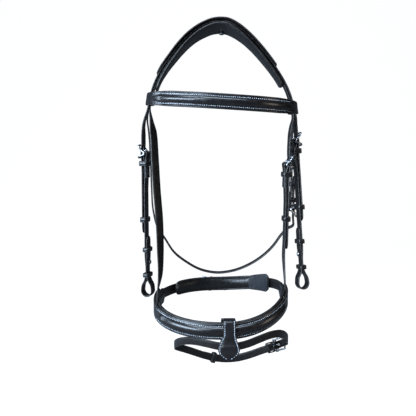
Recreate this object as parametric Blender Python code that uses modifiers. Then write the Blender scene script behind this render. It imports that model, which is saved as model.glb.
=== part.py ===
"""Snaffle bridle with a flash noseband, built from separate leather and metal pieces.

Dimensions are in millimetres and the meshes in metres; +Z is up.  The origin is
the middle of the underside of the padded headpiece, where it rests on the poll.
-Y is the front (the horse's forehead and nose), +X is the horse's near (left)
side and -X its off side.
"""
import math

import bmesh
import bpy
import numpy as np
from mathutils import Vector

MM = 0.001               # metres in a millimetre
UP = np.array((0, 0, 1.0))
REARWARD = np.array((0, 1.0, 0))

# ------------------------------------------------------------ shared dimensions
STRAP_T = 2.4            # strap leather thickness
CHEEK_W = 16.0           # cheekpiece and billet width
HANGER_W = 16.0          # noseband headstrap width
THROAT_W = 12.0          # throatlatch width
FLASH_W = 12.0           # flash strap width
FLASH_T = 2.2            # flash strap and flash loop thickness
CHIN_W = 17.0            # chin strap width
TIP_BLUNT = 0.25         # share of the width left at the end of a strap's point

# Straps stacked on the crown: heights of their middles above the padding's
# underside, and how far behind the middle of the crown they run.
LAYER_PITCH = 2.9
HANGER_LAYER = 5.5
HEAD_LAYER = HANGER_LAYER + LAYER_PITCH
COVER_LAYER = HEAD_LAYER + LAYER_PITCH
HANGER_Y, CHEEK_Y, THROAT_Y = -4.0, -7.2, 8.6

# Straps at a buckle, as distances outward from the middle of the centre bar.
CHAPE_INNER = -1.6       # inner layer of the strap folded round the bar
CHAPE_OUTER = 1.3        # its outer layer
FOLD_R = 3.1             # middle radius of the fold
OVER_BAR = 6.35          # billet where it crosses the bar
TAIL_OUT = 5.2           # billet lying on the folded strap
# A billet crossing the bar and settling on the strap: (outward, along).
OVER_THE_BAR = [(OVER_BAR, -3), (OVER_BAR, 2), (TAIL_OUT + 0.4, 9), (TAIL_OUT, 20)]

# --------------------------------------------------------------- scene, materials
for old in list(bpy.data.objects):
    bpy.data.objects.remove(old, do_unlink=True)

PARTS = bpy.data.collections.new("snaffle_bridle")
CUTTERS = bpy.data.collections.new("cutters")
for collection in (PARTS, CUTTERS):
    bpy.context.scene.collection.children.link(collection)

FINISHES = {
    "strap": dict(colour=(0.018, 0.017, 0.017), roughness=0.42, metallic=0.0),
    "pad": dict(colour=(0.022, 0.021, 0.021), roughness=0.55, metallic=0.0),
    "metal": dict(colour=(0.62, 0.63, 0.65), roughness=0.25, metallic=1.0),
}


def make_material(name, colour, roughness, metallic):
    material = bpy.data.materials.new(name)
    material.use_nodes = True
    shader = material.node_tree.nodes["Principled BSDF"]
    shader.inputs["Base Color"].default_value = (*colour, 1.0)
    shader.inputs["Roughness"].default_value = roughness
    shader.inputs["Metallic"].default_value = metallic
    material.diffuse_color = (*colour, 1.0)
    return material


# ------------------------------------------------------------------ mesh helpers
def to_metres(point):
    return Vector([float(c) * MM for c in point])


def finish(ob, kind, origin=None):
    """Give a piece its material and collection, and its origin in millimetres."""
    ob.data.materials.append(make_material(ob.name + "_mat", **FINISHES[kind]))
    PARTS.objects.link(ob)
    if origin is not None:
        offset = to_metres(origin)
        for v in ob.data.vertices:
            v.co -= offset
        ob.location = offset
    return ob


def face_out(bm):
    bmesh.ops.recalc_face_normals(bm, faces=bm.faces[:])
    if bm.calc_volume(signed=True) < 0:
        bmesh.ops.reverse_faces(bm, faces=bm.faces[:])


def move_vertices(bm, place):
    """Put each vertex where place(x, y, z) says, in millimetres."""
    for v in bm.verts:
        v.co = to_metres(place(*v.co))


def mesh_object(name, bm):
    mesh = bpy.data.meshes.new(name)
    bm.to_mesh(mesh)
    bm.free()
    return bpy.data.objects.new(name, mesh)


def solid_object(name, bm, place):
    """Object from a closed bmesh whose vertices are moved by place."""
    move_vertices(bm, place)
    face_out(bm)
    return mesh_object(name, bm)


def unit(v):
    v = np.asarray(v, float)
    return v / np.linalg.norm(v)


def strap_directions(centres, width_dirs):
    """Unit width and normal directions at each centre, square to the line."""
    tangents = np.gradient(centres, axis=0)
    steps = np.diff(centres, axis=0)
    steps = steps / np.linalg.norm(steps, axis=1)[:, None]
    tangents[1:-1] = steps[:-1] + steps[1:]
    tangents = tangents / np.linalg.norm(tangents, axis=1)[:, None]
    across = width_dirs - (width_dirs * tangents).sum(1)[:, None] * tangents
    across = across / np.linalg.norm(across, axis=1)[:, None]
    return across, np.cross(tangents, across)


def slab(name, length_cells, width_cells, place, kind):
    """A box of cells bent into shape.  place(i, across, face) gives each corner:
    i counts cells along, across runs -0.5 to 0.5, face is 0 below and 1 above."""
    bm = bmesh.new()
    bmesh.ops.create_grid(bm, x_segments=length_cells, y_segments=width_cells, size=0.5)
    top = bmesh.ops.extrude_face_region(bm, geom=bm.faces[:])
    for item in top["geom"]:
        if isinstance(item, bmesh.types.BMVert):
            item.co.z += 1.0

    def place_corner(x, y, z):
        return place(int(round((x + 0.5) * length_cells)), y, z)
    return finish(solid_object(name, bm, place_corner), kind)


def strap(name, points, width_dirs, width, thickness=STRAP_T, kind="strap",
          width_cells=1, tip=0.0, edge_thinning=0.0):
    """A strap centred on points.

    width_dirs is one direction or one per point.  width is a number, one per
    point, or a function of the fraction of the length.  tip is the length of
    the pointed last end; edge_thinning raises the underside at the long edges.
    """
    centres = np.asarray(points, float)
    across, normals = strap_directions(centres, np.asarray(width_dirs, float))
    steps = np.linalg.norm(np.diff(centres, axis=0), axis=1)
    distance = np.concatenate([[0], np.cumsum(steps)])
    if callable(width):
        width = width(distance / distance[-1])
    widths = np.ones(len(centres)) * width
    for i, left in enumerate(distance[-1] - distance):
        if left < tip:
            rounding = math.sqrt(max(0.0, 1 - (1 - left / tip) ** 2))
            widths[i] *= TIP_BLUNT + (1 - TIP_BLUNT) * rounding

    def place(i, q, face):
        raised = edge_thinning if face < 0.5 and abs(q) > 0.4 else 0.0
        height = -thickness / 2 + raised + thickness * face
        return centres[i] + across[i] * (q * widths[i]) + normals[i] * height
    return slab(name, len(centres) - 1, width_cells, place, kind)


def wire(name, points, radius, cyclic=False):
    """A round wire through points as a closed mesh."""
    curve = bpy.data.curves.new(name + "_curve", "CURVE")
    curve.dimensions = "3D"
    line = curve.splines.new("POLY")
    line.points.add(len(points) - 1)
    for curve_point, point in zip(line.points, points):
        curve_point.co = (*to_metres(point), 1.0)
    line.use_cyclic_u = cyclic
    curve.bevel_depth = radius * MM
    curve.bevel_resolution = 1
    curve.use_fill_caps = not cyclic
    temporary = bpy.data.objects.new(name + "_wire", curve)
    bpy.context.scene.collection.objects.link(temporary)
    depsgraph = bpy.context.evaluated_depsgraph_get()
    mesh = bpy.data.meshes.new_from_object(temporary.evaluated_get(depsgraph))
    mesh.name = name
    bpy.data.objects.remove(temporary, do_unlink=True)
    bm = bmesh.new()
    bm.from_mesh(mesh)
    # welds the end caps to the tube
    bmesh.ops.remove_doubles(bm, verts=bm.verts[:], dist=1e-6)
    face_out(bm)
    bm.to_mesh(mesh)
    bm.free()
    mesh.materials.clear()
    mesh.shade_smooth()
    return bpy.data.objects.new(name, mesh)


def add_boolean(ob, helper, operation):
    CUTTERS.objects.link(helper)
    helper.hide_render = True
    helper.display_type = "WIRE"
    modifier = ob.modifiers.new(operation.lower(), "BOOLEAN")
    modifier.operation = operation
    modifier.object = helper
    modifier.solver = "EXACT"


# --------------------------------------------------------- buckles and keepers
WIRE_R = 1.5             # buckle wire radius
BAR_R = 1.4              # centre bar radius
TONGUE_R = 0.95
FAR_OUT, FAR_ALONG = 10.2, -12.5       # buckle's far bar, from the centre bar
LOW_OUT, LOW_ALONG = 9.6, 5.2          # buckle's other end bar
FRAME_SPREAD = 2.9       # side wires' middles beyond each edge of the strap
FAR_CORNER, LOW_CORNER = 3.0, 2.5      # how much the frame's corners are cut in
SLOT_HALF_W = 1.8        # half width of the slots cut for the tongue
KEEPER_PLAY = 2.0        # a keeper's inside width beyond its strap's
KEEPER_WALL = 1.7
KEEPER_SQUARENESS = 0.16   # exponent of its outline; smaller is squarer
FIXED_KEEPER_OUT = (-3.3, 8.2)         # inside faces, outward from the bar
SLIDING_KEEPER_OUT = (-0.6, 7.4)


class Axes:
    """A place's own directions: along the strap, across it and outward from it.

    At a buckle the origin is the middle of the centre bar, and along points
    towards the strap the bar is sewn to.
    """

    def __init__(self, origin, along, across):
        self.origin = np.asarray(origin, float)
        self.along = unit(along)
        across = np.asarray(across, float)
        self.across = unit(across - across.dot(self.along) * self.along)
        self.outward = np.cross(self.along, self.across)

    def __call__(self, outward, along, across=0.0):
        return (self.origin + self.outward * outward + self.along * along
                + self.across * across)

    def path(self, stations):
        """Points from (outward, along) pairs."""
        return [self(outward, along) for outward, along in stations]


def signed_power(value, exponent):
    return math.copysign(abs(value) ** exponent, value)


def box_cutter(name, axes, outward, along):
    """A box between two values outward and two along, as wide as a tongue slot."""
    bm = bmesh.new()
    bmesh.ops.create_cube(bm, size=1.0)

    def place(x, y, z):
        return axes(outward[0] + (outward[1] - outward[0]) * (x + 0.5),
                    along[0] + (along[1] - along[0]) * (y + 0.5),
                    2 * SLOT_HALF_W * z)
    return solid_object(name, bm, place)


def cut_fold_slot(ob, axes, tag, outer=6.0):
    """Opens the fold round the centre bar for the tongue."""
    cutter = box_cutter("cut_chape_" + tag, axes, (-6, outer), (-6, 5.5))
    add_boolean(ob, cutter, "DIFFERENCE")


def cut_billet_slot(ob, axes, tag, inner=2.0):
    """Opens the billet over the bar for the tongue."""
    cutter = box_cutter("cut_tongue_" + tag, axes, (inner, 12), (-11.5, 1.5))
    add_boolean(ob, cutter, "DIFFERENCE")


def bar_fold(start):
    """Strap folded round the centre bar, from start on its inner layer:
    (outward, along) pairs."""
    stations = [(CHAPE_INNER, start), (CHAPE_INNER, 9.0)]
    for k in range(9):
        angle = math.radians(205 - 230 * k / 8)
        stations.append((FOLD_R * math.cos(angle), -FOLD_R * math.sin(angle)))
    return stations + [(CHAPE_OUTER, 9.0)]


def buckle_frame(prefix, axes, width):
    """Dished wire frame joined to its centre bar."""
    half = width / 2 + FRAME_SPREAD
    side = [(FAR_OUT * 0.90, FAR_ALONG * 0.95), (FAR_OUT * 0.45, FAR_ALONG * 0.45),
            (0.0, 0.0), (LOW_OUT * 0.75, LOW_ALONG * 0.75)]
    far, low = half - FAR_CORNER, half - LOW_CORNER
    points = [axes(FAR_OUT, FAR_ALONG, -far), axes(FAR_OUT, FAR_ALONG, far)]
    points += [axes(*station, half) for station in side]
    points += [axes(LOW_OUT, LOW_ALONG, low), axes(LOW_OUT, LOW_ALONG, -low)]
    points += [axes(*station, -half) for station in reversed(side)]
    frame = wire(prefix + "_buckle_frame", points, WIRE_R, cyclic=True)
    bar = wire(prefix + "_buckle_bar_join", [axes(0, 0, -half), axes(0, 0, half)], BAR_R)
    finish(frame, "metal", axes.origin)
    add_boolean(frame, bar, "UNION")


def buckle_tongue(prefix, axes):
    """Tongue curled round the centre bar, then run out to the far bar."""
    curl_r = BAR_R + 0.45 + TONGUE_R
    end_out = FAR_OUT + WIRE_R + TONGUE_R + 0.55
    stations = []
    for k in range(8):
        angle = math.radians(-200 + 250 * k / 7)
        stations.append((curl_r * math.cos(angle), -curl_r * math.sin(angle)))
    stations += [(FAR_OUT * 0.72 + 2.5, FAR_ALONG * 0.60),
                 (end_out, FAR_ALONG + 0.6), (end_out + 0.3, FAR_ALONG - 1.6)]
    tongue = wire(prefix + "_buckle_tongue", axes.path(stations), TONGUE_R)
    finish(tongue, "metal", axes.origin)


def buckle(prefix, axes, width):
    buckle_frame(prefix, axes, width)
    buckle_tongue(prefix, axes)


def keeper(name, axes, outward, along, strap_width):
    """A leather band round everything between two values outward, over a
    length of strap."""
    bm = bmesh.new()
    bmesh.ops.create_cone(bm, cap_ends=False, segments=16, radius1=1.0, radius2=1.0, depth=1.0)
    half_width = (strap_width + KEEPER_PLAY) / 2
    mid_out, half_out = (outward[0] + outward[1]) / 2, (outward[1] - outward[0]) / 2
    middle = axes(mid_out, (along[0] + along[1]) / 2)

    def place(x, y, z):
        angle = math.atan2(y, x)
        return axes(mid_out + signed_power(math.sin(angle), KEEPER_SQUARENESS) * half_out,
                    along[0] + (along[1] - along[0]) * (z + 0.5),
                    signed_power(math.cos(angle), KEEPER_SQUARENESS) * half_width)
    move_vertices(bm, place)
    bmesh.ops.recalc_face_normals(bm, faces=bm.faces[:])
    # the band is open, so its faces are turned away from its own middle
    bm.faces.ensure_lookup_table()
    face = bm.faces[0]
    if face.normal.dot(face.calc_center_median() - to_metres(middle)) < 0:
        bmesh.ops.reverse_faces(bm, faces=bm.faces[:])
    ob = finish(mesh_object(name, bm), "strap", middle)
    wall = ob.modifiers.new("wall", "SOLIDIFY")
    wall.thickness = KEEPER_WALL * MM
    wall.offset = 1.0
    wall.use_even_offset = True


# ------------------------------------------------------------------------ crown
PAD_T = 3.7              # crown padding thickness

# Arch of the headpiece, from the middle down to the cheeks: distance from the
# middle, Z of the underside, and how far the band leans back in degrees.
ARCH_OFF = [
    (10, -1, 10), (26, -7, 10), (42, -17, 9), (57, -31, 8), (72, -49, 6),
    (86, -68, 4), (96, -86, 2), (102.5, -104, 0), (107, -125, 0), (109.4, -138, 0)]
ARCH_NEAR = [
    (7, -1, 10), (20, -7, 8), (34, -17, 5), (49, -31, 3), (65, -49, 2),
    (80, -68, 1), (91.5, -86, 0), (100, -104, 0), (106, -125, 0), (109.4, -138, 0)]

STUD_LEAN = 10.0         # degrees the stud leans back with the crown
STUD_AT = (1.5, 0, -1.0)
STUD_BACK = 16.6         # from there towards the rear edge
STUD_SINK = 0.02         # gap under the padding
STUD_BASE_R, STUD_END_R, STUD_H = 4.2, 2.4, 2.6


def lean_direction(degrees):
    """Rearward direction, dipping by degrees."""
    angle = math.radians(degrees)
    return np.array((0, math.cos(angle), -math.sin(angle)))


def arch(side, i):
    """Point, outward normal and width direction of the headpiece at station i."""
    mine, other = (ARCH_OFF, ARCH_NEAR) if side < 0 else (ARCH_NEAR, ARCH_OFF)
    x, z, lean = mine[i]
    after = mine[min(len(mine) - 1, i + 1)]
    before = mine[i - 1] if i else (-other[0][0], other[0][1])
    # the tangent always runs from the off side to the near side
    tangent = unit((side * (after[0] - before[0]), 0, after[1] - before[1])) * side
    across = lean_direction(lean)
    across = unit(across - across.dot(tangent) * tangent)
    return np.array((side * x, 0.0, z)), np.cross(tangent, across), across


def arch_line(last_off, last_near, layer, y):
    """Strap centres and width directions over the poll, off side to near side."""
    stations = [(-1, i) for i in range(last_off, -1, -1)]
    stations += [(1, i) for i in range(last_near + 1)]
    points, width_dirs = [], []
    for side, i in stations:
        point, normal, across = arch(side, i)
        points.append(point + normal * layer + across * y)
        width_dirs.append(across)
    return points, width_dirs


def arch_x(z, side):
    """Distance of the headpiece's underside from the middle at height z."""
    stations = ARCH_OFF if side < 0 else ARCH_NEAR
    return float(np.interp(-z, [-s[1] for s in stations], [s[0] for s in stations]))


def shorten_ends(points, width_dirs, off_share, near_share):
    """Keep only a share of the first and last spans."""
    for end, inside, share in ((0, 1, off_share), (-1, -2, near_share)):
        points[end] = points[end] * share + points[inside] * (1 - share)
        width_dirs[end] = unit(width_dirs[end] * share + width_dirs[inside] * (1 - share))


def crown_width(at_ends, at_middle):
    """Width as a function of the fraction of the length."""
    def width(fraction):
        return at_middle + (at_ends - at_middle) * abs(2 * fraction - 1) ** 2.2
    return width


def build_crown_padding():
    points, width_dirs = arch_line(7, 7, PAD_T / 2, 0.0)
    # reaches lower on the off side
    shorten_ends(points, width_dirs, off_share=0.60, near_share=0.26)
    strap("crown_padding", points, width_dirs, crown_width(33.0, 50.0), thickness=PAD_T,
          kind="pad", width_cells=3, edge_thinning=0.8)


def build_crown_cover():
    points, width_dirs = arch_line(6, 5, COVER_LAYER, 0.0)
    shorten_ends(points, width_dirs, off_share=0.45, near_share=0.82)
    strap("crown_cover", points, width_dirs, crown_width(34.0, 44.0))


def build_crown_stud():
    """Tapered stud under the rear half of the padding."""
    sideways = np.array((1.0, 0, 0))
    rearward = lean_direction(STUD_LEAN)
    normal = np.cross(sideways, rearward)
    base = np.array(STUD_AT) + rearward * STUD_BACK - normal * STUD_SINK
    bm = bmesh.new()
    bmesh.ops.create_cone(bm, cap_ends=True, segments=16, radius1=STUD_BASE_R,
                          radius2=STUD_END_R, depth=STUD_H)

    def place(x, y, z):
        return base - normal * (z + STUD_H / 2) + sideways * x + rearward * y
    finish(solid_object("crown_stud", bm, place), "metal")


# ------------------------------------------- headpiece strap and cheekpieces
def cheek_axes(side, at, lean, fore, twist):
    """Axes of a cheek buckle.  Going down, the strap leans away from the middle
    by lean degrees and forward by fore; twist turns its face about Z."""
    lean, fore, twist = (math.radians(a) for a in (lean, fore, twist))
    along = (side * math.sin(lean), -math.sin(fore), -math.cos(lean))
    return Axes(at, along, (-math.sin(twist), side * math.cos(twist), 0.0))


OFF_CHEEK = cheek_axes(-1, at=(-118.4, -3.0, -194.0), lean=0.0, fore=0.0, twist=18.0)
NEAR_CHEEK = cheek_axes(1, at=(115.5, -3.0, -175.0), lean=3.6, fore=5.0, twist=12.0)
NEAR_EXTRA = 6.0         # the near cheekpiece is a hole longer
BEND = -22.0             # the billet bends here, above the centre bar
BEND_GAP = 0.8           # half the gap left between headpiece strap and billet
BIT_LOOP_R = 8.6         # middle radius of the loop at the cheekpiece's lower end
BIT_LOOP_STRETCH = 1.12  # its height against its width
BIT_LOOP_ALONG = 220.0
HOOK_STUD_R = 3.4
HOOK_STUD_HALF_H = 1.3
HOOK_STUD_GAP = 0.6      # from the inner layer at the fold to the stud


def build_headpiece_strap():
    """Over the poll and down to just above each cheek buckle."""
    points, width_dirs = arch_line(8, 9, HEAD_LAYER, CHEEK_Y)
    off, near = -OFF_CHEEK.across, NEAR_CHEEK.across
    off_end = OFF_CHEEK.path([(5.0, BEND - BEND_GAP), (4.9, BEND - 7), (4.3, BEND - 22)])
    near_end = NEAR_CHEEK.path([(4.9, BEND - 5), (5.0, BEND - BEND_GAP)])
    strap("headpiece_strap", off_end + points + near_end,
          [off, off, unit(0.6 * off + 0.4 * width_dirs[0])] + width_dirs + [near, near],
          CHEEK_W)


def build_cheek_billet(tag, axes):
    """Under the far bar, over the centre bar and down to its point."""
    stations = [(5.0, BEND + BEND_GAP), (5.1, -14)] + OVER_THE_BAR
    stations += [(TAIL_OUT, along) for along in (55, 90, 116, 121, 125, 127)]
    ob = strap(f"cheek_billet_{tag}", axes.path(stations), axes.across, CHEEK_W, tip=12)
    cut_billet_slot(ob, axes, tag)


def build_cheekpiece(tag, axes, extra):
    """One strap: folded round the bar, down, round the bit loop and back up."""
    inner, outer = CHAPE_INNER, CHAPE_OUTER
    stations = bar_fold(38.0) + [
        (outer, 60), (outer, 128), (outer + 0.2, 160 + extra), (outer + 0.4, 199.5 + extra),
        (3.9, 205.5 + extra), (6.7, 210.5 + extra)]
    for k in range(10):
        angle = math.radians(15 - 210 * k / 9)
        stations.append((
            BIT_LOOP_R * math.cos(angle) - 0.2,
            BIT_LOOP_ALONG + extra - BIT_LOOP_R * math.sin(angle) * BIT_LOOP_STRETCH))
    stations += [(-7.3, 210.5 + extra), (-4.5, 205.5 + extra),
                 (inner - 0.4, 199.5 + extra), (inner - 0.2, 160 + extra)]
    stations += [(inner, along + extra) for along in (142, 136, 133, 131.5)]
    ob = strap(f"cheekpiece_{tag}", axes.path(stations), axes.across, CHEEK_W, tip=9)
    cut_fold_slot(ob, axes, tag)


def build_hook_stud(tag, axes, extra):
    """Flattened ball on the cheekpiece's inner layer."""
    base_out = CHAPE_INNER - STRAP_T / 2 - HOOK_STUD_GAP
    bm = bmesh.new()
    bmesh.ops.create_uvsphere(bm, u_segments=10, v_segments=6, radius=1.0)

    def place(x, y, z):
        return axes(base_out - HOOK_STUD_HALF_H * (1 + z),
                    174 + extra + HOOK_STUD_R * x, HOOK_STUD_R * y)
    ob = solid_object(f"hook_stud_{tag}", bm, place)
    ob.data.shade_smooth()
    finish(ob, "metal")


def build_cheek(tag, axes, extra):
    build_cheek_billet(tag, axes)
    build_cheekpiece(tag, axes, extra)
    buckle(f"cheek_{tag}", axes, CHEEK_W)
    for name, outward, along in (
            ("cheek_fixed_keeper", FIXED_KEEPER_OUT, (11.5, 19.5)),
            ("cheek_sliding_keeper", SLIDING_KEEPER_OUT, (101, 109)),
            ("bit_upper_keeper", (-3.7, 3.5), (150 + extra, 157 + extra)),
            ("bit_lower_keeper", (-3.9, 3.8), (191.5 + extra, 198 + extra))):
        keeper(f"{name}_{tag}", axes, outward, along, CHEEK_W)
    build_hook_stud(tag, axes, extra)


# --------------------------------------------------------------------- browband
BROW_W_MID, BROW_W_END = 22.5, 17.5
BROW_T = 2.4
BROW_Z = -116.2
BROW_ROLL = 0.06         # the near end hangs lower
BROW_PITCH = 0.02        # and the front a little lower
BROW_ARC_X = 115.0       # half width of the arc over the forehead
BROW_ARC_Y = -15.0       # where the arc starts
BROW_ARC_DEPTH = 93.0
BROW_ARC_TRIM = 14       # degrees left off each end of the arc
BROW_RAISED_W = 12.0
BROW_RAISED_GAP = 0.3    # from the leather to the raised padding
BROW_RAISED_H = 3.4


def brow_z(x, y):
    return BROW_Z - BROW_ROLL * x + BROW_PITCH * min(0, y)


def brow_loop(side):
    """(x, y) of the loop round the headpiece straps, from its inner layer,
    round the back, to its outer layer."""
    gap = arch_x(brow_z(side * 110, 0), side)
    inner, outer = gap + 2.1, gap + 12.4
    outline = [(inner + 0.2, -12.5), (inner, -4), (inner, 15.2), (inner + 1.6, 20.0),
               ((inner + outer) / 2, 21.8), (outer - 1.6, 20.0), (outer, 15.2),
               (outer, -4), (outer + 0.1, -15)]
    return [(side * x, y) for x, y in outline]


def brow_arc():
    """(x, y) across the forehead, off side to near side."""
    outline = []
    for k in range(13):
        angle = math.radians(180 + BROW_ARC_TRIM + (180 - 2 * BROW_ARC_TRIM) * k / 12)
        outline.append((BROW_ARC_X * signed_power(math.cos(angle), 0.86),
                        BROW_ARC_Y - BROW_ARC_DEPTH * abs(math.sin(angle)) ** 0.9))
    return outline


def brow_line(outline):
    """Centres and width directions; the loops follow the slope of the straps."""
    centres, width_dirs = [], []
    for x, y in outline:
        share = min(1.0, max(0.0, (y + 40) / 35.0))
        side, z = (-1 if x < 0 else 1), brow_z(x, y)
        slope = (arch_x(z - 8, side) - arch_x(z + 8, side)) / 16
        centres.append(np.array((x, y, z)))
        width_dirs.append(unit((-side * slope * share, 0, 1.0)))
    return centres, width_dirs


def brow_width(fraction):
    share = np.clip((abs(2 * fraction - 1) - 0.34) / 0.30, 0.0, 1.0)
    return BROW_W_MID + (BROW_W_END - BROW_W_MID) * share


def build_browband():
    outline = brow_loop(-1) + brow_arc() + brow_loop(1)[::-1]
    strap("browband", *brow_line(outline), brow_width, thickness=BROW_T)


def build_browband_raised():
    """Rounded padding on the browband's outer face."""
    centres, width_dirs = (np.array(a) for a in brow_line(brow_arc()[1:-1]))
    across, normals = strap_directions(centres, width_dirs)
    cells = len(centres) - 1

    def place(i, q, face):
        fullness = min(1.0, 3.0 * math.sin(math.pi * i / cells))
        height = BROW_RAISED_H * (0.25 + 0.75 * fullness) * (0.3 + 0.7 * math.cos(math.pi * q))
        return (centres[i] + across[i] * (q * BROW_RAISED_W)
                + normals[i] * (BROW_T / 2 + BROW_RAISED_GAP + face * height))
    slab("browband_raised", cells, 4, place, "pad")


# --------------------------------------------------------------- noseband ring
RING_A, RING_B = 108.0, 102.0          # half width and half depth of the outer line
RING_X, RING_Y = -1.0, -10.0           # its middle
RING_FRONT_Y = RING_Y - RING_B
RING_ROUNDING = 0.90                   # 1 is an ellipse; less is squarer
NOSE_FROM, NOSE_TO = -112.0, 96.0      # the noseband's ends, in ring degrees
NOSE_W = 26.0            # noseband height
NOSE_OUT_T = 3.0         # outer leather thickness
NOSE_LINE_T = 4.6        # padding thickness
NOSE_LINE_AT = -6.8      # outer face of the padding, from the outer line
# middle of the straps sewn between leather and padding
NOSE_SEAT = (NOSE_LINE_AT - NOSE_OUT_T) / 2


def ring_z(x, y):
    """The ring rises towards the sides and the rear, most on the near side."""
    lift = 3.0 if x < 0 else 21.0
    return -437.5 + 0.13 * y + lift * (min(abs(x), 106.0) / 106.0) ** 2


def ring(theta, outward=0.0):
    """Point on the noseband's outer line at theta degrees from the front,
    positive towards the near side, moved outward; with the outward normal."""
    angle = math.radians(theta)
    s, c = math.sin(angle), math.cos(angle)
    x = RING_X + RING_A * signed_power(s, RING_ROUNDING)
    y = RING_Y - RING_B * signed_power(c, RING_ROUNDING)
    normal = unit((signed_power(s, 2 - RING_ROUNDING) / RING_A,
                   -signed_power(c, 2 - RING_ROUNDING) / RING_B, 0))
    return np.array((x, y, ring_z(x, y))) + normal * outward, normal


def ring_points(stations):
    """Points from (theta, outward, drop) stations."""
    return [ring(theta, outward)[0] - (0, 0, drop) for theta, outward, drop in stations]


OFF_SEAT, OFF_SEAT_NORMAL = ring(-81.0, NOSE_SEAT)
NEAR_SEAT, NEAR_SEAT_NORMAL = ring(83.0, NOSE_SEAT)

# ---------------------------------------------------------- noseband headstrap
HANGER_TWIST = math.radians(4.0)
HANGER = Axes((100.5, -18.0, -211.0), (-0.012, 0, -1),
              (-math.sin(HANGER_TWIST), math.cos(HANGER_TWIST), 0))
# Off side, noseband up to the crown: point, and degrees the width direction
# turns from the rear towards +X.
HANGER_OFF = [
    ((-97.6, -24, -385.0), 22), ((-97.2, -20.5, -346.0), 38), ((-98.5, -18, -298.0), 44),
    ((-102.0, -16, -251.0), 44), ((-104.5, -14.5, -204.0), 44), ((-107.0, -11, -160.0), 38),
    ((-110.0, -6.2, -141.0), 13)]


def build_noseband_headstrap():
    """From the off side of the noseband over the poll to its billet."""
    seat_turn = -math.degrees(math.atan2(-OFF_SEAT_NORMAL[1], -OFF_SEAT_NORMAL[0]))
    off = [(OFF_SEAT - 10.0 * UP, seat_turn), (OFF_SEAT + 18.0 * UP, seat_turn)] + HANGER_OFF
    off_points = [np.array(point) for point, turn in off]
    off_dirs = [np.array((math.sin(math.radians(turn)), math.cos(math.radians(turn)), 0))
                for point, turn in off]
    points, width_dirs = arch_line(8, 8, HANGER_LAYER, HANGER_Y)
    billet = [(5.4, -42), (5.0, -28), (5.2, -14)] + OVER_THE_BAR
    billet += [(TAIL_OUT, along) for along in (60, 100, 124, 129, 132.5, 134.5)]
    near_points = [np.array((113.9, -4.7, -137.5)), np.array((110.4, -7.6, -150.0))]
    near_points += HANGER.path(billet)
    near_dirs = [unit(share * width_dirs[-1] + (1 - share) * HANGER.across)
                 for share in (0.85, 0.6)]
    near_dirs += [HANGER.across] * len(billet)
    ob = strap("noseband_headstrap", off_points + points + near_points,
               off_dirs + width_dirs + near_dirs, HANGER_W, tip=12)
    cut_billet_slot(ob, HANGER, "hanger")


def build_noseband_hanger():
    """Near side: from the buckle down into the noseband."""
    upper = HANGER.path(bar_fold(36.0) + [(CHAPE_OUTER, 60), (CHAPE_OUTER, 118), (1.0, 150)])
    lower = [np.array((100.3, -19.5, -374.0)), NEAR_SEAT + 17.0 * UP, NEAR_SEAT - 10.0 * UP]
    seat_dir = np.array((-NEAR_SEAT_NORMAL[1], NEAR_SEAT_NORMAL[0], 0))
    width_dirs = [HANGER.across] * len(upper)
    width_dirs += [unit(HANGER.across + np.array((0.05, 0, 0))), seat_dir, seat_dir]
    ob = strap("noseband_hanger_near", upper + lower, width_dirs, HANGER_W)
    cut_fold_slot(ob, HANGER, "hanger")
    buckle("hanger", HANGER, HANGER_W)
    keeper("hanger_fixed_keeper", HANGER, FIXED_KEEPER_OUT, (11.5, 19.5), HANGER_W)
    keeper("hanger_sliding_keeper", HANGER, SLIDING_KEEPER_OUT, (82, 90), HANGER_W)


# --------------------------------------------------------------------- noseband
def ring_band(name, start, end, cells, inner, outer, width, kind, width_cells=1, bulge=0.0):
    """A band along the ring between two distances outward from its line."""
    stations = [ring(start + (end - start) * k / cells) for k in range(cells + 1)]

    def place(i, q, face):
        point, normal = stations[i]
        out = inner + (outer - inner) * face + bulge * math.cos(math.pi * q) * face
        return point + normal * out + UP * (q * width)
    slab(name, cells, width_cells, place, kind)


def build_noseband():
    ring_band("noseband_leather", NOSE_FROM, NOSE_TO, 26, -NOSE_OUT_T, 0.0, NOSE_W - 2, "strap")
    ring_band("noseband_padding", NOSE_FROM, NOSE_TO, 26, NOSE_LINE_AT - NOSE_LINE_T,
              NOSE_LINE_AT, NOSE_W, "pad")
    # raised panel on the front, running behind the flash loop
    ring_band("noseband_raised", -62, 62, 16, 0.6, 1.7, 15.0, "pad", width_cells=2, bulge=2.4)


# Flash loop: x of its middle, y of its front and rear layers, z of the
# noseband's upper edge there.
LOOP_X = 5.0
LOOP_FRONT = RING_FRONT_Y - 6.2
LOOP_REAR = RING_FRONT_Y - NOSE_LINE_AT + NOSE_LINE_T + 2.6
LOOP_EDGE_Z = ring_z(LOOP_X, RING_FRONT_Y) + NOSE_W / 2
# Its profile, up the rear, over the edge and down the front:
# (y, z from the edge, width).
FLASH_LOOP = [
    (-118.0, -51.4, 6), (-115.6, -50.2, 15), (-105.5, -46.0, 26), (-99.4, -37.0, 25),
    (LOOP_REAR, -27.0, 21), (LOOP_REAR, -12.0, 21), (LOOP_REAR, 0.4, 21),
    (LOOP_REAR - 1.4, 3.0, 21), (LOOP_REAR - 5.5, 4.2, 21), (LOOP_FRONT + 6.5, 4.2, 21),
    (LOOP_FRONT + 1.5, 3.0, 21), (LOOP_FRONT, 0.0, 21), (LOOP_FRONT, -8.0, 21),
    (LOOP_FRONT, -16.0, 21.5), (LOOP_FRONT - 0.3, -23.0, 23.5), (LOOP_FRONT - 2.2, -29.0, 28),
    (LOOP_FRONT - 4.2, -33.0, 31), (LOOP_FRONT - 4.6, -38.0, 32), (LOOP_FRONT - 4.2, -43.0, 28),
    (LOOP_FRONT - 3.2, -48.0, 18), (LOOP_FRONT - 2.6, -51.0, 9), (LOOP_FRONT - 2.4, -53.0, 3)]


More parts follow.
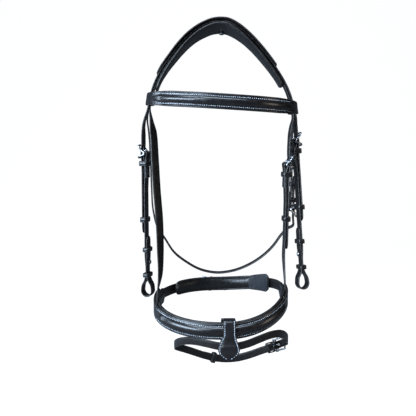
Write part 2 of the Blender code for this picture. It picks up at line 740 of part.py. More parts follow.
def build_flash_loop():
    """A tab folded over the noseband's upper edge, hanging to a point."""
    points = [(LOOP_X, y, LOOP_EDGE_Z + z) for y, z, width in FLASH_LOOP]
    strap("flash_loop", points, (1, 0, 0), [width for y, z, width in FLASH_LOOP],
          thickness=FLASH_T)


# ------------------------------------------------------------------- chin strap
CHIN = Axes((-14.0, 97.4, -428.9), (1, 0.0, 0.012), (0, 0, -1))

# Stations on the ring: (theta, outward, drop).
CHIN_NEAR = [   # from the buckle strap's long end to the noseband
    (162, 5.6, 2.7), (152, 2.9, 2.4), (141, -0.2, 1.8), (130, -2.6, 1.0), (118, -4.4, 0.4),
    (107, NOSE_SEAT, 0.1), (98, NOSE_SEAT, 0), (91.5, NOSE_SEAT, 0)]
CHIN_OFF = [    # from the noseband towards the buckle
    (-98, NOSE_SEAT, 0), (-106, NOSE_SEAT, 0.1), (-116, NOSE_SEAT, 0.4),
    (-127, -4.2, 1.1), (-138, -1.6, 1.9), (-148, 2.0, 2.5)]
CHIN_TAIL = [   # the billet's end, past the buckle
    (163, 9.8, 2.7), (155, 8.0, 2.5), (149, 6.6, 2.3),
    (146.5, 5.9, 2.1), (144.5, 5.4, 2.0), (143.2, 5.1, 1.9)]

CHIN_PAD_CELLS = 14
CHIN_PAD_FROM, CHIN_PAD_SWEEP = -135, -103    # ring degrees, off side to near side
CHIN_PAD_H = 23.0
CHIN_PAD_FLARE = 10.0    # extra height at the near end
CHIN_PAD_FLARE_AT = 0.72   # fraction of the length where the flare starts


def build_chin_strap():
    """The near part carries the buckle; the off part is the billet."""
    fold = CHIN.path(bar_fold(32.0) + [(CHAPE_OUTER, 33)])
    ob = strap("chin_strap_near", fold + ring_points(CHIN_NEAR), UP, CHIN_W)
    cut_fold_slot(ob, CHIN, "chin")
    billet = CHIN.path([(5.0, -23), (5.2, -14)] + OVER_THE_BAR + [(TAIL_OUT, 34)])
    ob = strap("chin_strap_off", ring_points(CHIN_OFF) + billet + ring_points(CHIN_TAIL),
               UP, CHIN_W, tip=10)
    cut_billet_slot(ob, CHIN, "chin")
    buckle("chin", CHIN, CHIN_W - 1.0)
    keeper("chin_fixed_keeper", CHIN, FIXED_KEEPER_OUT, (11.5, 19.5), CHIN_W)
    keeper("chin_sliding_keeper", CHIN, (-3.3, 7.6), (24, 30.5), CHIN_W)


def build_chin_pad():
    """Pad inside the chin strap, bulging inward."""
    def place(i, q, face):
        k = i / CHIN_PAD_CELLS
        point, normal = ring(CHIN_PAD_FROM + CHIN_PAD_SWEEP * k,
                             -7.8 + 5.0 * math.sin(math.pi * k))
        flare = max(0.0, (k - CHIN_PAD_FLARE_AT) / (1 - CHIN_PAD_FLARE_AT)) ** 0.6
        height = CHIN_PAD_H + CHIN_PAD_FLARE * flare
        if i == 0:
            height *= 0.65       # the off end is narrowed
        bulge = 1.6 * math.cos(math.pi * q) * (1 - face)
        return point + normal * (-4.6 + 4.4 * face - bulge) + UP * (q * height)
    slab("chin_pad", CHIN_PAD_CELLS, 2, place, "pad")


# ------------------------------------------------------------------ flash strap
# A sagging oval under the noseband.
FLASH_X, FLASH_Y, FLASH_Z = 13.0, -40.0, -496.0
FLASH_A, FLASH_B = 88.0, 72.0          # half width and half depth
FLASH_DROP = 39.4        # its rear hangs twice this much below its front
FLASH_DIP = 8.5          # the loop on the noseband pulls its front down

# Stations on the oval: (theta, outward).
FLASH_RUN = [   # from the buckle round the rear, off side and front to the near side
    (142, 2.2), (150, 0.9), (160, 0.2),
    *((theta, 0) for theta in (170, 181, 192, 203, 214, 225, 236, 248, 260, 272, 284, 296,
                               308, 320, 333, 346, 360, 373, 386, 398, 410, 422)),
    (434, 0.6), (444, 2.0), (453, 3.8)]
FLASH_TAIL = [  # the end, lying on the start of the run
    (142, 6.1), (150, 4.6), (160, 3.9), (170, 3.5),
    *((theta, 3.3) for theta in (181, 190, 197, 203, 206, 208, 210))]


def flash_point(theta, outward=0.0):
    """Point on the oval at theta degrees from the front, moved outward."""
    angle = math.radians(theta)
    s, c = math.sin(angle), math.cos(angle)
    normal = unit((s / FLASH_A, -c / FLASH_B, 0))
    from_front = (theta + 180) % 360 - 180
    z = (FLASH_Z + FLASH_DROP * c - 7.0 * math.cos(2 * angle) + 3.4 * s
         + 2.0 * math.sin(2 * angle) - 2.2 * math.cos(4 * angle)
         - FLASH_DIP * math.exp(-(from_front / 31.0) ** 2))
    return np.array((FLASH_X + FLASH_A * s, FLASH_Y - FLASH_B * c, z)) + normal * outward


def flash_axes(theta):
    """Axes on the oval, running along it as theta grows."""
    tangent = flash_point(theta + 1) - flash_point(theta - 1)
    return Axes(flash_point(theta), tangent, UP)


def build_flash_strap():
    """One strap: from its buckle right round the nose and back through it."""
    axes = flash_axes(120.0)
    sections = [
        (axes.path(bar_fold(19.0) + [(CHAPE_OUTER, 20)]), axes.across),
        ([flash_point(*station) for station in FLASH_RUN], UP),
        (axes.path([(5.6, -20), (5.5, -13)] + OVER_THE_BAR), axes.across),
        ([flash_point(*station) for station in FLASH_TAIL], UP)]
    points, width_dirs = [], []
    for section, direction in sections:
        points += section
        width_dirs += [direction] * len(section)
    ob = strap("flash_strap", points, width_dirs, FLASH_W, thickness=FLASH_T, tip=9)
    cut_fold_slot(ob, axes, "flash", outer=4.4)
    cut_billet_slot(ob, axes, "flash", inner=4.9)
    buckle("flash", axes, FLASH_W)
    keeper("flash_fixed_keeper", axes, FIXED_KEEPER_OUT, (11.5, 17.5), FLASH_W)
    keeper("flash_sliding_keeper", flash_axes(195), (-2.3, 5.6), (-3.5, 3.5), FLASH_W)


# ------------------------------------------------------------------ throatlatch
# The short near strap hangs from the poll with its buckle at the bottom, and
# the long strap runs from the off side under the throat and up through it.
THROAT = Axes((117.0, 30.0, -286.0), (0.0, -0.07, 1.0), (0, -1, -0.07))

# Points of the strap over the poll, below the crown on each side.
THROAT_OFF = [
    (-114.6, 26.0, -186.0), (-114.8, 25.4, -178.0), (-116.0, 20.0, -158.0),
    (-117.4, 12.4, -139.0)]
THROAT_NEAR = [
    (117.6, 12.4, -138.5), (117.6, 16.5, -149.5), (117.4, 20.5, -161.0),
    (117.4, 24.0, -176.0), (117.8, 26.2, -200.0)]
# Points of the long strap, off side to near side.
THROAT_LONG = [
    (-114.55, 26.3, -187.6), (-113.6, 27.6, -215), (-112.6, 29, -250), (-110.5, 32, -288),
    (-103.5, 38, -318), (-91.5, 45, -338), (-77, 53, -362), (-56, 62, -381),
    (-30, 69, -396.5), (-2, 72, -402.5), (27, 70, -398.5), (52, 64, -387.5),
    (74, 57.5, -372), (92, 51, -353), (104, 45, -334), (113, 40.0, -322)]


def build_throat_headstrap():
    points, width_dirs = arch_line(8, 8, HEAD_LAYER, THROAT_Y)
    fold = THROAT.path(bar_fold(28.0) + [(CHAPE_OUTER, 36), (CHAPE_OUTER, 60)])[::-1]
    ob = strap("throat_headstrap", THROAT_OFF + points + THROAT_NEAR + fold,
               [REARWARD] * len(THROAT_OFF) + width_dirs
               + [REARWARD] * len(THROAT_NEAR) + [-THROAT.across] * len(fold), THROAT_W)
    cut_fold_slot(ob, THROAT, "throat")
    buckle("throat", THROAT, THROAT_W)
    keeper("throat_fixed_keeper", THROAT, FIXED_KEEPER_OUT, (11.5, 17.5), THROAT_W)
    keeper("throat_sliding_keeper", THROAT, SLIDING_KEEPER_OUT, (38, 44), THROAT_W)


def build_throatlatch():
    """The long strap, and its billet going up through the buckle."""
    # the rear edge tips up a little under the throat
    width_dirs = [unit((0, 1.0, 0.05 * min(1.0, max(0.0, (-z - 290) / 70.0))))
                  for x, y, z in THROAT_LONG]
    near_end = THROAT.path([(6.4, -26.5), (6.1, -21.4)])
    strap("throatlatch", THROAT_LONG + near_end, width_dirs + [-THROAT.across] * 2, THROAT_W)
    billet = [(5.75, -19.0), (5.4, -13)] + OVER_THE_BAR
    billet += [(TAIL_OUT, along) for along in (44, 50, 53, 54.5)]
    ob = strap("throat_billet", THROAT.path(billet), THROAT.across, THROAT_W, tip=9)
    cut_billet_slot(ob, THROAT, "throat", inner=3.9)


# ------------------------------------------------------------------------ build
build_crown_padding()
build_crown_cover()
build_crown_stud()
build_headpiece_strap()
build_cheek("off", OFF_CHEEK, 0.0)
build_cheek("near", NEAR_CHEEK, NEAR_EXTRA)
build_browband()
build_browband_raised()
build_noseband_headstrap()
build_noseband_hanger()
build_noseband()
build_flash_loop()
build_chin_strap()
build_chin_pad()
build_flash_strap()
build_throat_headstrap()
build_throatlatch()
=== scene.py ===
"""Snaffle bridle in fine leather: padded headpiece, cheekpieces, browband, noseband with chin
and flash straps, and throatlatch, with steel buckles and thread stitching.

X runs from the off side (-) to the near side (+), -Y is the front, +Z is up and the poll is
near the origin.  Lengths are worked out in millimetres and stored in metres.
"""
import math

import bmesh
import bpy
import numpy as np
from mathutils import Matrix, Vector


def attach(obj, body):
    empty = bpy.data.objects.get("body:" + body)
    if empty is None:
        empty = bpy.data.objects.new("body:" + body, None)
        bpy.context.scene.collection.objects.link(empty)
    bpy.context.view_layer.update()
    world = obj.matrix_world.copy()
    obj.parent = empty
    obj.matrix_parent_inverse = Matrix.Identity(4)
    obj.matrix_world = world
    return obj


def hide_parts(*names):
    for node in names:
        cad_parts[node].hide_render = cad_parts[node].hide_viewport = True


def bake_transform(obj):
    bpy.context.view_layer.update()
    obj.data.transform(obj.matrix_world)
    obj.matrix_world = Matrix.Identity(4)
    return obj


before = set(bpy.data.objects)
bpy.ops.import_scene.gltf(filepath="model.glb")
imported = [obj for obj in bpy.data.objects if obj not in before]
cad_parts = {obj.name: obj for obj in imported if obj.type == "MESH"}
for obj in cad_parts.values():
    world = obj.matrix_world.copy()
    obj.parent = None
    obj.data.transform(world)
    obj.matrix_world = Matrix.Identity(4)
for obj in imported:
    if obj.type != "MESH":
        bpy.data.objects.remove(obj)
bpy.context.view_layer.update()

MM = 0.001
ROOT = bpy.context.scene.collection
RNG = np.random.default_rng(7)
RIGHT = np.array((1.0, 0, 0))
REAR = np.array((0, 1.0, 0))
UP = np.array((0, 0, 1.0))

# ------------------------------------------------------------------ dimensions
STRAP_T = 2.4            # strap leather thickness
HALF_T = STRAP_T / 2
FLASH_HALF_T = 1.1       # half thickness of the flash strap and its loop
CHEEK_W = 16.0           # cheekpiece and billet width
HANGER_W = 16.0          # noseband headstrap width
THROAT_W = 12.0          # throatlatch width
FLASH_W = 12.0           # flash strap width
CHIN_W = 17.0            # chin strap width

PAD_T = 3.7              # crown padding thickness
LAY_HANGER = 5.5         # middle of each crown layer above the padding's underside
LAY_HEAD = 8.4
LAY_TOP = 11.3
Y_HANGER, Y_CHEEK, Y_THROAT = -4.0, -7.2, 8.6    # where each strap lies across the crown

BROW_W_MID, BROW_W_END = 22.5, 17.5
BROW_Z = -116.2
BROW_ROLL = 0.06         # the near end hangs lower
NOSE_W = 26.0            # noseband height
NOSE_OUT_T = 3.0         # noseband outer leather
NOSE_LINE_T = 4.6        # noseband padding
NOSE_SEAT = -4.9         # middle of the straps sewn between leather and padding
NOSE_LINE_AT = -6.8      # outer face of the padding
NOSE_FROM, NOSE_TO = -112.0, 96.0     # ends, in degrees from the front
SEAT_OFF, SEAT_NEAR = -81.0, 83.0     # where the headstrap is sewn in, in degrees

WIRE_R = 1.5             # buckle wire radius
BAR_R = 1.4              # buckle centre bar radius
TONGUE_R = 0.95
EYE_R = 3.1              # middle radius of the leather fold round the bar
TOP_OUT, TOP_ALONG = 10.2, -12.5     # buckle's far bar: outward, along the strap
LOW_OUT, LOW_ALONG = 9.6, 5.2        # buckle's near bar
CHAPE_IN, CHAPE_OUT = -1.6, 1.3      # middles of the two layers folded round the bar
TAIL_OUT = 5.2           # middle of a billet lying on the strap below the buckle
OVER_OUT = 6.35          # middle of a billet where it crosses the centre bar
FIXED_OUT = (-3.3, 8.2)  # inside of the fixed and sliding keepers, outward
SLIDING_OUT = (-0.6, 7.4)

# Arch of the headpiece: X outward and Z of the underside, and how far the band leans
# back there in degrees, from the middle down to the cheeks.
ARCH_OFF = [(10, -1, 10), (26, -7, 10), (42, -17, 9), (57, -31, 8), (72, -49, 6),
            (86, -68, 4), (96, -86, 2), (102.5, -104, 0), (107, -125, 0), (109.4, -138, 0)]
ARCH_NEAR = [(7, -1, 10), (20, -7, 8), (34, -17, 5), (49, -31, 3), (65, -49, 2),
             (80, -68, 1), (91.5, -86, 0), (100, -104, 0), (106, -125, 0), (109.4, -138, 0)]

CHEEK_FLEX = 22.0        # the billet bends this far above the centre bar
HANGER_TWIST = math.radians(4.0)

# Noseband ring: middle, half width, half depth and how square it is
RING_X, RING_Y = -1.0, -10.0
RING_A, RING_B = 108.0, 102.0
RING_POWER = 0.90
NOSE_FRONT = RING_Y - RING_B

# Flash strap: a sagging oval under the noseband
FLASH_C = (13.0, -40.0, -496.0)
FLASH_A, FLASH_B = 88.0, 72.0
FLASH_DROP = 39.4        # its rear hangs twice this much below its front
FLASH_DIP = 8.5          # the loop on the noseband pulls its front down

# ------------------------------------------------------------------- materials


def new_material(name):
    material = bpy.data.materials.new(name)
    material.use_nodes = True
    tree = material.node_tree
    return material, tree, tree.nodes["Principled BSDF"]


def feed(tree, socket, value):
    """Link another socket into this one, or set its value."""
    if isinstance(value, bpy.types.NodeSocket):
        tree.links.new(value, socket)
    else:
        socket.default_value = value


def set_inputs(tree, node, values):
    for key, value in values.items():
        feed(tree, node.inputs[key], value)


def add_node(tree, kind, **values):
    """New node with its inputs and properties given by name."""
    node = tree.nodes.new(kind)
    for key, value in values.items():
        if key in node.inputs:
            feed(tree, node.inputs[key], value)
        else:
            setattr(node, key, value)
    return node


def object_coords(tree):
    return add_node(tree, "ShaderNodeTexCoord").outputs["Object"]


def noise(tree, **values):
    return add_node(tree, "ShaderNodeTexNoise", **values).outputs["Fac"]


def ramp(tree, source, span, values):
    """Colour ramp over a span of the source, between two greys or colours."""
    node = add_node(tree, "ShaderNodeValToRGB", Fac=source)
    for i in range(2):
        stop = node.color_ramp.elements[i]
        stop.position = span[i]
        stop.color = (*values[i], 1) if np.ndim(values[i]) else (*[values[i]] * 3, 1)
    return node.outputs["Color"]


def mix(tree, factor, first, second, blend="MIX"):
    node = add_node(tree, "ShaderNodeMix", data_type="RGBA", blend_type=blend)
    set_inputs(tree, node, {0: factor, 6: first, 7: second})
    return node.outputs[2]


def math_node(tree, operation, *operands, clamp=False):
    node = add_node(tree, "ShaderNodeMath", operation=operation, use_clamp=clamp)
    set_inputs(tree, node, dict(enumerate(operands)))
    return node.outputs[0]


def bumps(tree, layers):
    """Bump nodes in a chain, one for each (height, strength, distance)."""
    normal = None
    for height, strength, distance in layers:
        bump = add_node(tree, "ShaderNodeBump", Strength=strength, Distance=distance,
                        Height=height)
        if normal is not None:
            tree.links.new(normal, bump.inputs["Normal"])
        normal = bump.outputs["Normal"]
    return normal


def leather(name, dark, light, rough, coat, sheen, grain=1.0, pores=850.0, seed=0.0):
    """Finished bridle leather: uneven dye, pebbled grain, worn edges, waxed surface."""
    worn = (0.040, 0.034, 0.031, 1.0)
    material, tree, shader = new_material(name)
    vector = add_node(tree, "ShaderNodeMapping", Vector=object_coords(tree),
                      Location=(seed, seed * 0.7, -seed * 0.4)).outputs["Vector"]

    def clouds(scale, detail):
        return noise(tree, Scale=scale, Detail=detail, Roughness=0.55, Distortion=0.0,
                     Vector=vector)

    def cells(feature, scale):
        return add_node(tree, "ShaderNodeTexVoronoi", Scale=scale, Randomness=1.0,
                        feature=feature, Vector=vector).outputs["Distance"]

    broad = clouds(scale=26.0, detail=3.0)
    medium = clouds(scale=150.0, detail=4.0)
    fine = clouds(scale=1500.0, detail=3.0)
    pebbles = cells("SMOOTH_F1", pores)
    creases = cells("DISTANCE_TO_EDGE", pores * 0.32)

    tone = ramp(tree, broad, span=(0.32, 0.70), values=(dark, light))
    spots = ramp(tree, medium, span=(0.40, 0.75), values=(0.82, 1.22))
    base = mix(tree, 1.0, tone, spots, "MULTIPLY")
    edge = add_node(tree, "ShaderNodeAttribute", attribute_name="edge").outputs["Fac"]
    rub = ramp(tree, medium, span=(0.35, 0.72), values=(0.25, 1.0))
    wear = math_node(tree, "MULTIPLY", edge, rub, clamp=True)
    patchy = ramp(tree, medium, span=(0.25, 0.8), values=(rough - 0.07, rough + 0.10))
    edge_roughening = 0.12
    normal = bumps(tree, (                       # height, strength, distance in metres
        (pebbles, 0.12 * grain, 0.00020),
        (ramp(tree, creases, span=(0.0, 0.10), values=(0.0, 1.0)), 0.09 * grain, 0.00026),
        (fine, 0.08 * grain, 0.00040),
        (clouds(scale=62.0, detail=2.0), 0.06, 0.0006)))
    set_inputs(tree, shader, {
        "Base Color": mix(tree, wear, base, worn),
        "Roughness": math_node(tree, "MULTIPLY_ADD", edge, edge_roughening, patchy),
        "Specular IOR Level": 0.42,
        "Coat Weight": coat,
        "Coat Roughness": 0.20,
        "Coat IOR": 1.45,
        "Sheen Weight": sheen,
        "Sheen Roughness": 0.45,
        "Sheen Tint": (0.55, 0.62, 0.75, 1),
        "Normal": normal,
        "Coat Normal": normal})
    return material


def steel(name, tint, rough):
    """Polished steel with uneven tone and fine marks squeezed along Z."""
    material, tree, shader = new_material(name)
    coords = object_coords(tree)
    squeezed = add_node(tree, "ShaderNodeMapping", Vector=coords, Scale=(1.0, 1.0, 9.0))
    marks = noise(tree, Scale=420.0, Detail=4.0, Roughness=0.6,
                  Vector=squeezed.outputs["Vector"])
    clouds = noise(tree, Scale=60.0, Detail=2.0, Vector=coords)
    darker = tuple(v * 0.80 for v in tint)
    set_inputs(tree, shader, {
        "Base Color": ramp(tree, clouds, span=(0.35, 0.7), values=(darker, tint)),
        "Metallic": 1.0,
        "Roughness": ramp(tree, marks, span=(0.3, 0.75), values=(rough - 0.06, rough + 0.16)),
        "Normal": bumps(tree, [(marks, 0.12, 0.00008)])})
    return material


def thread(name, dark, light):
    """Waxed twisted thread."""
    material, tree, shader = new_material(name)
    coords = object_coords(tree)
    clouds = noise(tree, Scale=240.0, Detail=2.0, Vector=coords)
    twist = add_node(tree, "ShaderNodeTexWave", Scale=520.0, Distortion=1.5, Vector=coords)
    set_inputs(tree, shader, {
        "Base Color": ramp(tree, clouds, span=(0.3, 0.7), values=(dark, light)),
        "Roughness": 0.58,
        "Normal": bumps(tree, [(twist.outputs["Fac"], 0.4, 0.0001)])})
    return material


STRAP = leather("bridle_leather", dark=(0.0056, 0.0050, 0.0053), light=(0.0125, 0.0096, 0.0086),
                rough=0.34, coat=0.14, sheen=0.01)
POLISHED = leather("bridle_leather_polished", dark=(0.0055, 0.0058, 0.0070),
                   light=(0.0120, 0.0108, 0.0108), rough=0.30, grain=0.5, coat=0.20,
                   sheen=0.01, seed=0.31)
LINING = leather("soft_lining_leather", dark=(0.0052, 0.0053, 0.0062),
                 light=(0.0110, 0.0100, 0.0098), rough=0.36, grain=1.2, coat=0.08,
                 pores=620.0, sheen=0.02, seed=0.77)
RAISED = leather("raised_leather", dark=(0.0056, 0.0053, 0.0060), light=(0.0115, 0.0095, 0.0092),
                 rough=0.30, grain=0.35, coat=0.30, sheen=0.01, seed=1.3)
PATCH = leather("chin_patch_leather", dark=(0.0085, 0.0105, 0.0150),
                light=(0.0150, 0.0170, 0.0215), rough=0.48, grain=1.7, coat=0.05,
                pores=700.0, sheen=0.12, seed=2.1)
KEEPER = leather("keeper_leather", dark=(0.0055, 0.0055, 0.0064), light=(0.0125, 0.0108, 0.0105),
                 rough=0.30, coat=0.20, sheen=0.01, seed=2.9)
STEEL = steel("stainless_steel", tint=(0.50, 0.52, 0.55), rough=0.22)
STEEL_DARK = steel("dull_steel", tint=(0.40, 0.41, 0.43), rough=0.30)
THREAD = thread("white_thread", dark=(0.50, 0.58, 0.70), light=(0.80, 0.86, 0.92))
THREAD_DIM = thread("grey_thread", dark=(0.045, 0.050, 0.062), light=(0.10, 0.11, 0.13))

# ---------------------------------------------------------------- mesh helpers


def face_outward(bm):
    bmesh.ops.recalc_face_normals(bm, faces=bm.faces[:])
    if bm.calc_volume(signed=True) < 0:
        bmesh.ops.reverse_faces(bm, faces=bm.faces[:])


def smooth(mesh, sharp):
    mesh.shade_smooth()
    mesh.set_sharp_from_angle(angle=math.radians(sharp))


def link_object(name, mesh):
    ob = bpy.data.objects.new(name, mesh)
    ROOT.objects.link(ob)
    return ob


def mesh_object(name, verts, faces, material, edge=None, sharp=48.0):
    """Object from points in millimetres; edge is how worn each point is."""
    mesh = bpy.data.meshes.new(name)
    mesh.from_pydata([tuple(float(a) * MM for a in v) for v in verts], [], faces)
    mesh.update()
    if edge is not None:
        attribute = mesh.attributes.new("edge", "FLOAT", "POINT")
        attribute.data.foreach_set("value", np.asarray(edge, np.float32))
    bm = bmesh.new()
    bm.from_mesh(mesh)
    face_outward(bm)
    bm.to_mesh(mesh)
    bm.free()
    smooth(mesh, sharp)
    mesh.materials.append(material)
    return link_object(name, mesh)


def hook_up(ob, body, node, *more):
    """Ride on a body, if one is given, and hide the CAD nodes it stands for."""
    if body is not None:
        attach(ob, body)
    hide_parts(node, *more)


def grid_faces(rings, around, closed=False, first=0):
    """Quads between rings of points, each ring closed on itself."""
    faces = []
    for i in range(rings if closed else rings - 1):
        here = first + i * around
        there = first + (i + 1) % rings * around
        for j in range(around):
            k = (j + 1) % around
            faces.append((here + j, here + k, there + k, there + j))
    return faces


def end_faces(rings, around, first=0):
    last = first + (rings - 1) * around
    return [tuple(range(first, first + around)), tuple(range(last, last + around))]


def unit(v):
    v = np.asarray(v, float)
    return v / np.linalg.norm(v)


def unit_rows(rows):
    return rows / np.linalg.norm(rows, axis=1)[:, None]


def sample(at, known, rows):
    """Rows of three values interpolated at new positions."""
    return np.column_stack([np.interp(at, known, rows[:, k]) for k in range(3)])


def run_of(line):
    """Distance along a line at each of its points."""
    steps = np.linalg.norm(np.diff(np.asarray(line), axis=0), axis=1)
    return np.concatenate([[0], np.cumsum(steps)])


def curve(points, step, closed=False):
    """Smooth line through points with even samples.  Returns the samples and, for each,
    its position between the given points (index plus fraction)."""
    p = np.asarray(points, float)
    if closed:
        p = np.vstack([p, p[:1]])
    gap = np.linalg.norm(np.diff(p, axis=0), axis=1)
    chord = np.diff(p, axis=0) / gap[:, None]
    slope = np.zeros_like(p)
    for i in range(1, len(p) - 1):
        slope[i] = (chord[i - 1] * gap[i] + chord[i] * gap[i - 1]) / (gap[i - 1] + gap[i])
    if closed:
        slope[0] = slope[-1] = (chord[-1] * gap[0] + chord[0] * gap[-1]) / (gap[0] + gap[-1])
    else:
        slope[0], slope[-1] = chord[0], chord[-1]
    samples, at = [], []
    for i in range(len(gap)):
        count = max(1, int(math.ceil(gap[i] / step)))
        for j in range(count):
            f = j / count
            samples.append((2 * f ** 3 - 3 * f * f + 1) * p[i]
                           + (f ** 3 - 2 * f * f + f) * gap[i] * slope[i]
                           + (-2 * f ** 3 + 3 * f * f) * p[i + 1]
                           + (f ** 3 - f * f) * gap[i] * slope[i + 1])
            at.append(i + f)
    if not closed:
        samples.append(p[-1])
        at.append(len(gap))
    return np.array(samples), np.array(at)


class Rail:
    """A line with the directions across it and outward at every sample."""

    def __init__(self, line, across, out):
        self.line, self.across, self.out = line, across, out
        self.run = run_of(line)
        self.length = self.run[-1]

    def row(self, offset, height, start, end, pitch, face=1):
        """Points and normals at an offset across and a height outward, between two
        distances along; face -1 turns the normals inward."""
        at = np.arange(start, end, pitch)
        offset = np.broadcast_to(offset, at.shape)[:, None]
        out = sample(at, self.run, self.out)
        points = (sample(at, self.run, self.line) + sample(at, self.run, self.across) * offset
                  + out * height)
        return points, out * face


class Strip(Rail):
    """A strap's smooth centre line; width is a number or a function of the fraction along,
    and tip0 and tip1 are the lengths of the rounded ends."""

    def __init__(self, points, across, width, tip0=0.0, tip1=0.0, step=2.5):
        line, at = curve(points, step)
        across = np.asarray(across, float)
        if across.ndim == 1:
            across = np.tile(across, (len(points), 1))
        across = sample(at, np.arange(len(points)), across)
        forward = unit_rows(np.gradient(line, axis=0))
        across = unit_rows(across - (across * forward).sum(1)[:, None] * forward)
        super().__init__(line, across, np.cross(forward, across))
        self.width = np.array([width(run / self.length) if callable(width) else width
                               for run in self.run], float)
        for tip, left in ((tip0, self.run), (tip1, self.length - self.run)):
            if tip:
                bulge = np.clip(1 - (1 - np.clip(left / tip, 0, 1)) ** 2.2, 0, 1)
                self.width *= np.where(left < tip, 0.16 + 0.84 * np.sqrt(bulge), 1.0)

    def edge_rows(self, inset, height, start, end, pitch, face=1):
        """A row inside each edge, never nearer the middle than 0.3."""
        at = np.arange(start, end, pitch)
        half = np.maximum(0.3, np.interp(at, self.run, self.width) / 2 - inset)
        return [self.row(sign * half, height, start, end, pitch, face) for sign in (-1, 1)]


def mirrored(half):
    """Close a section given from the middle of one face to the middle of the other."""
    return half + [(-u, v, e) for u, v, e in reversed(half[1:-1])]


def strap_section(width, low, high, crease=1.7, groove=0.2, crown=0.14):
    """Cut edge rounded and burnished, creased line inside each edge, slightly crowned face.
    Sections are lists of (across, outward, edge wear)."""
    half = width / 2
    r = min(0.46 * (high - low), 0.32 * width)
    line = min(crease + r * 0.3, 0.30 * width) - half
    top, under = [], []
    for k in range(5):
        a = math.radians(180 - 90 * k / 4)
        top.append((-half + r + r * math.cos(a), high - crown - r + r * math.sin(a),
                    1.0 - 0.2 * k))
    depth = groove if width > 6 else 0.0
    top += [(line - 0.40, high - crown * 0.8, 0.10), (line, high - crown * 0.7 - depth, 0.0),
            (line + 0.40, high - crown * 0.6, 0.05), (-half * 0.45, high - crown * 0.15, 0.0),
            (0.0, high, 0.0)]
    top += [(-u, v, e) for u, v, e in reversed(top[:-1])]
    for k in range(4):
        a = math.radians(-90 * k / 3)
        under.append((half - r + r * math.cos(a), low + r + r * math.sin(a), 1.0 - 0.3 * k))
    under += [(half * 0.45, low, 0.0), (-half * 0.45, low, 0.0)]
    under += [(-u, v, e) for u, v, e in reversed(under[:4])]
    return top + under


def sweep(name, rail, section, material):
    """Loft section(i) along a rail."""
    line, across, out = rail.line, rail.across, rail.out
    forward = unit_rows(np.gradient(line, axis=0))
    rings = [(line[i], across[i], out[i], section(i)) for i in range(len(line))]
    # a narrower ring just past each end rounds the end face
    for end, sign in ((0, -1), (len(line) - 1, 1)):
        full = section(end)
        us, vs = [q[0] for q in full], [q[1] for q in full]
        mid_u, mid_v = (max(us) + min(us)) / 2, (max(vs) + min(vs)) / 2
        half_u, half_v = (max(us) - min(us)) / 2, (max(vs) - min(vs)) / 2
        k = min(0.45, half_v * 0.5)
        shrink_u = max(0.2, 1 - k / max(half_u, 1e-6))
        shrink_v = max(0.2, 1 - k / max(half_v, 1e-6))
        small = [(mid_u + (u - mid_u) * shrink_u, mid_v + (v - mid_v) * shrink_v, 1.0)
                 for u, v, _ in full]
        ring = (line[end] + forward[end] * sign * 0.4 * k, across[end], out[end], small)
        rings.insert(0 if sign < 0 else len(rings), ring)
    verts, edge = [], []
    for centre, side, normal, points in rings:
        for u, v, e in points:
            verts.append(centre + side * u + normal * v)
            edge.append(e)
    around = len(rings[0][3])
    faces = grid_faces(len(rings), around) + end_faces(len(rings), around)
    return mesh_object(name, verts, faces, material, edge)


def strap(name, strip, material=STRAP, half=HALF_T, **section):
    return sweep(name, strip, lambda i: strap_section(strip.width[i], -half, half, **section),
                 material)


def tube(points, radius, closed=False, sides=14, taper=None):
    """Points and faces of a round wire, round-ended when open."""
    c, _ = curve(points, 0.7, closed)
    if closed:
        t = np.roll(c, -1, axis=0) - np.roll(c, 1, axis=0)
    else:
        t = np.gradient(c, axis=0)
    t = unit_rows(t)
    w = np.array((0.31, 0.52, 0.79))
    across = []
    for k in [0, *range(len(c))]:                 # carried along without twisting
        w = w - w.dot(t[k]) * t[k]
        if across or k:
            w = w / np.linalg.norm(w)
        across.append(w)
    across = np.array([unit(v) for v in across[1:]])
    if closed:                                    # spread the closing twist along the loop
        end = unit(across[-1] - across[-1].dot(t[0]) * t[0])
        twist = math.atan2(np.cross(end, across[0]).dot(t[0]), end.dot(across[0]))
        for k in range(len(c)):
            a = twist * k / len(c)
            across[k] = across[k] * math.cos(a) + np.cross(t[k], across[k]) * math.sin(a)
    beside = np.cross(t, across)
    radii = [radius * (taper(k / (len(c) - 1)) if taper else 1.0) for k in range(len(c))]
    rings = [(c[k], across[k], beside[k], radii[k]) for k in range(len(c))]
    if not closed:
        for end, sign in ((0, -1), (len(c) - 1, 1)):
            cap = [(c[end] + t[end] * sign * radii[end] * math.sin(a), across[end],
                    beside[end], radii[end] * math.cos(a)) for a in (0.55, 1.05, 1.40)]
            rings = cap[::-1] + rings if sign < 0 else rings + cap
    verts = []
    for p, w, b, r in rings:
        for j in range(sides):
            a = 2 * math.pi * j / sides
            verts.append(p + w * (r * math.cos(a)) + b * (r * math.sin(a)))
    faces = grid_faces(len(rings), sides, closed)
    if not closed:
        faces += end_faces(len(rings), sides)
    return verts, faces


def lathe(name, base, axis, side, other, profile):
    """Turned metal: profile is (radius, height) from the foot to the middle of the top."""
    around, rings = 28, len(profile) - 1
    verts = []
    for r, height in profile[:-1]:
        for k in range(around):
            a = 2 * math.pi * k / around
            verts.append(base + side * (r * math.cos(a)) + other * (r * math.sin(a))
                         + axis * height)
    verts.append(base + axis * profile[-1][1])
    last = (rings - 1) * around
    faces = grid_faces(rings, around)
    faces += [(last + k, last + (k + 1) % around, len(verts) - 1) for k in range(around)]
    faces.append(tuple(range(around)))
    return mesh_object(name, verts, faces, STEEL_DARK, None, 55.0)


STITCH_PROFILE = ((-0.5, 0.30), (-0.38, 0.80), (-0.15, 1.0),     # along, radius factor
                  (0.15, 1.0), (0.38, 0.80), (0.5, 0.30))


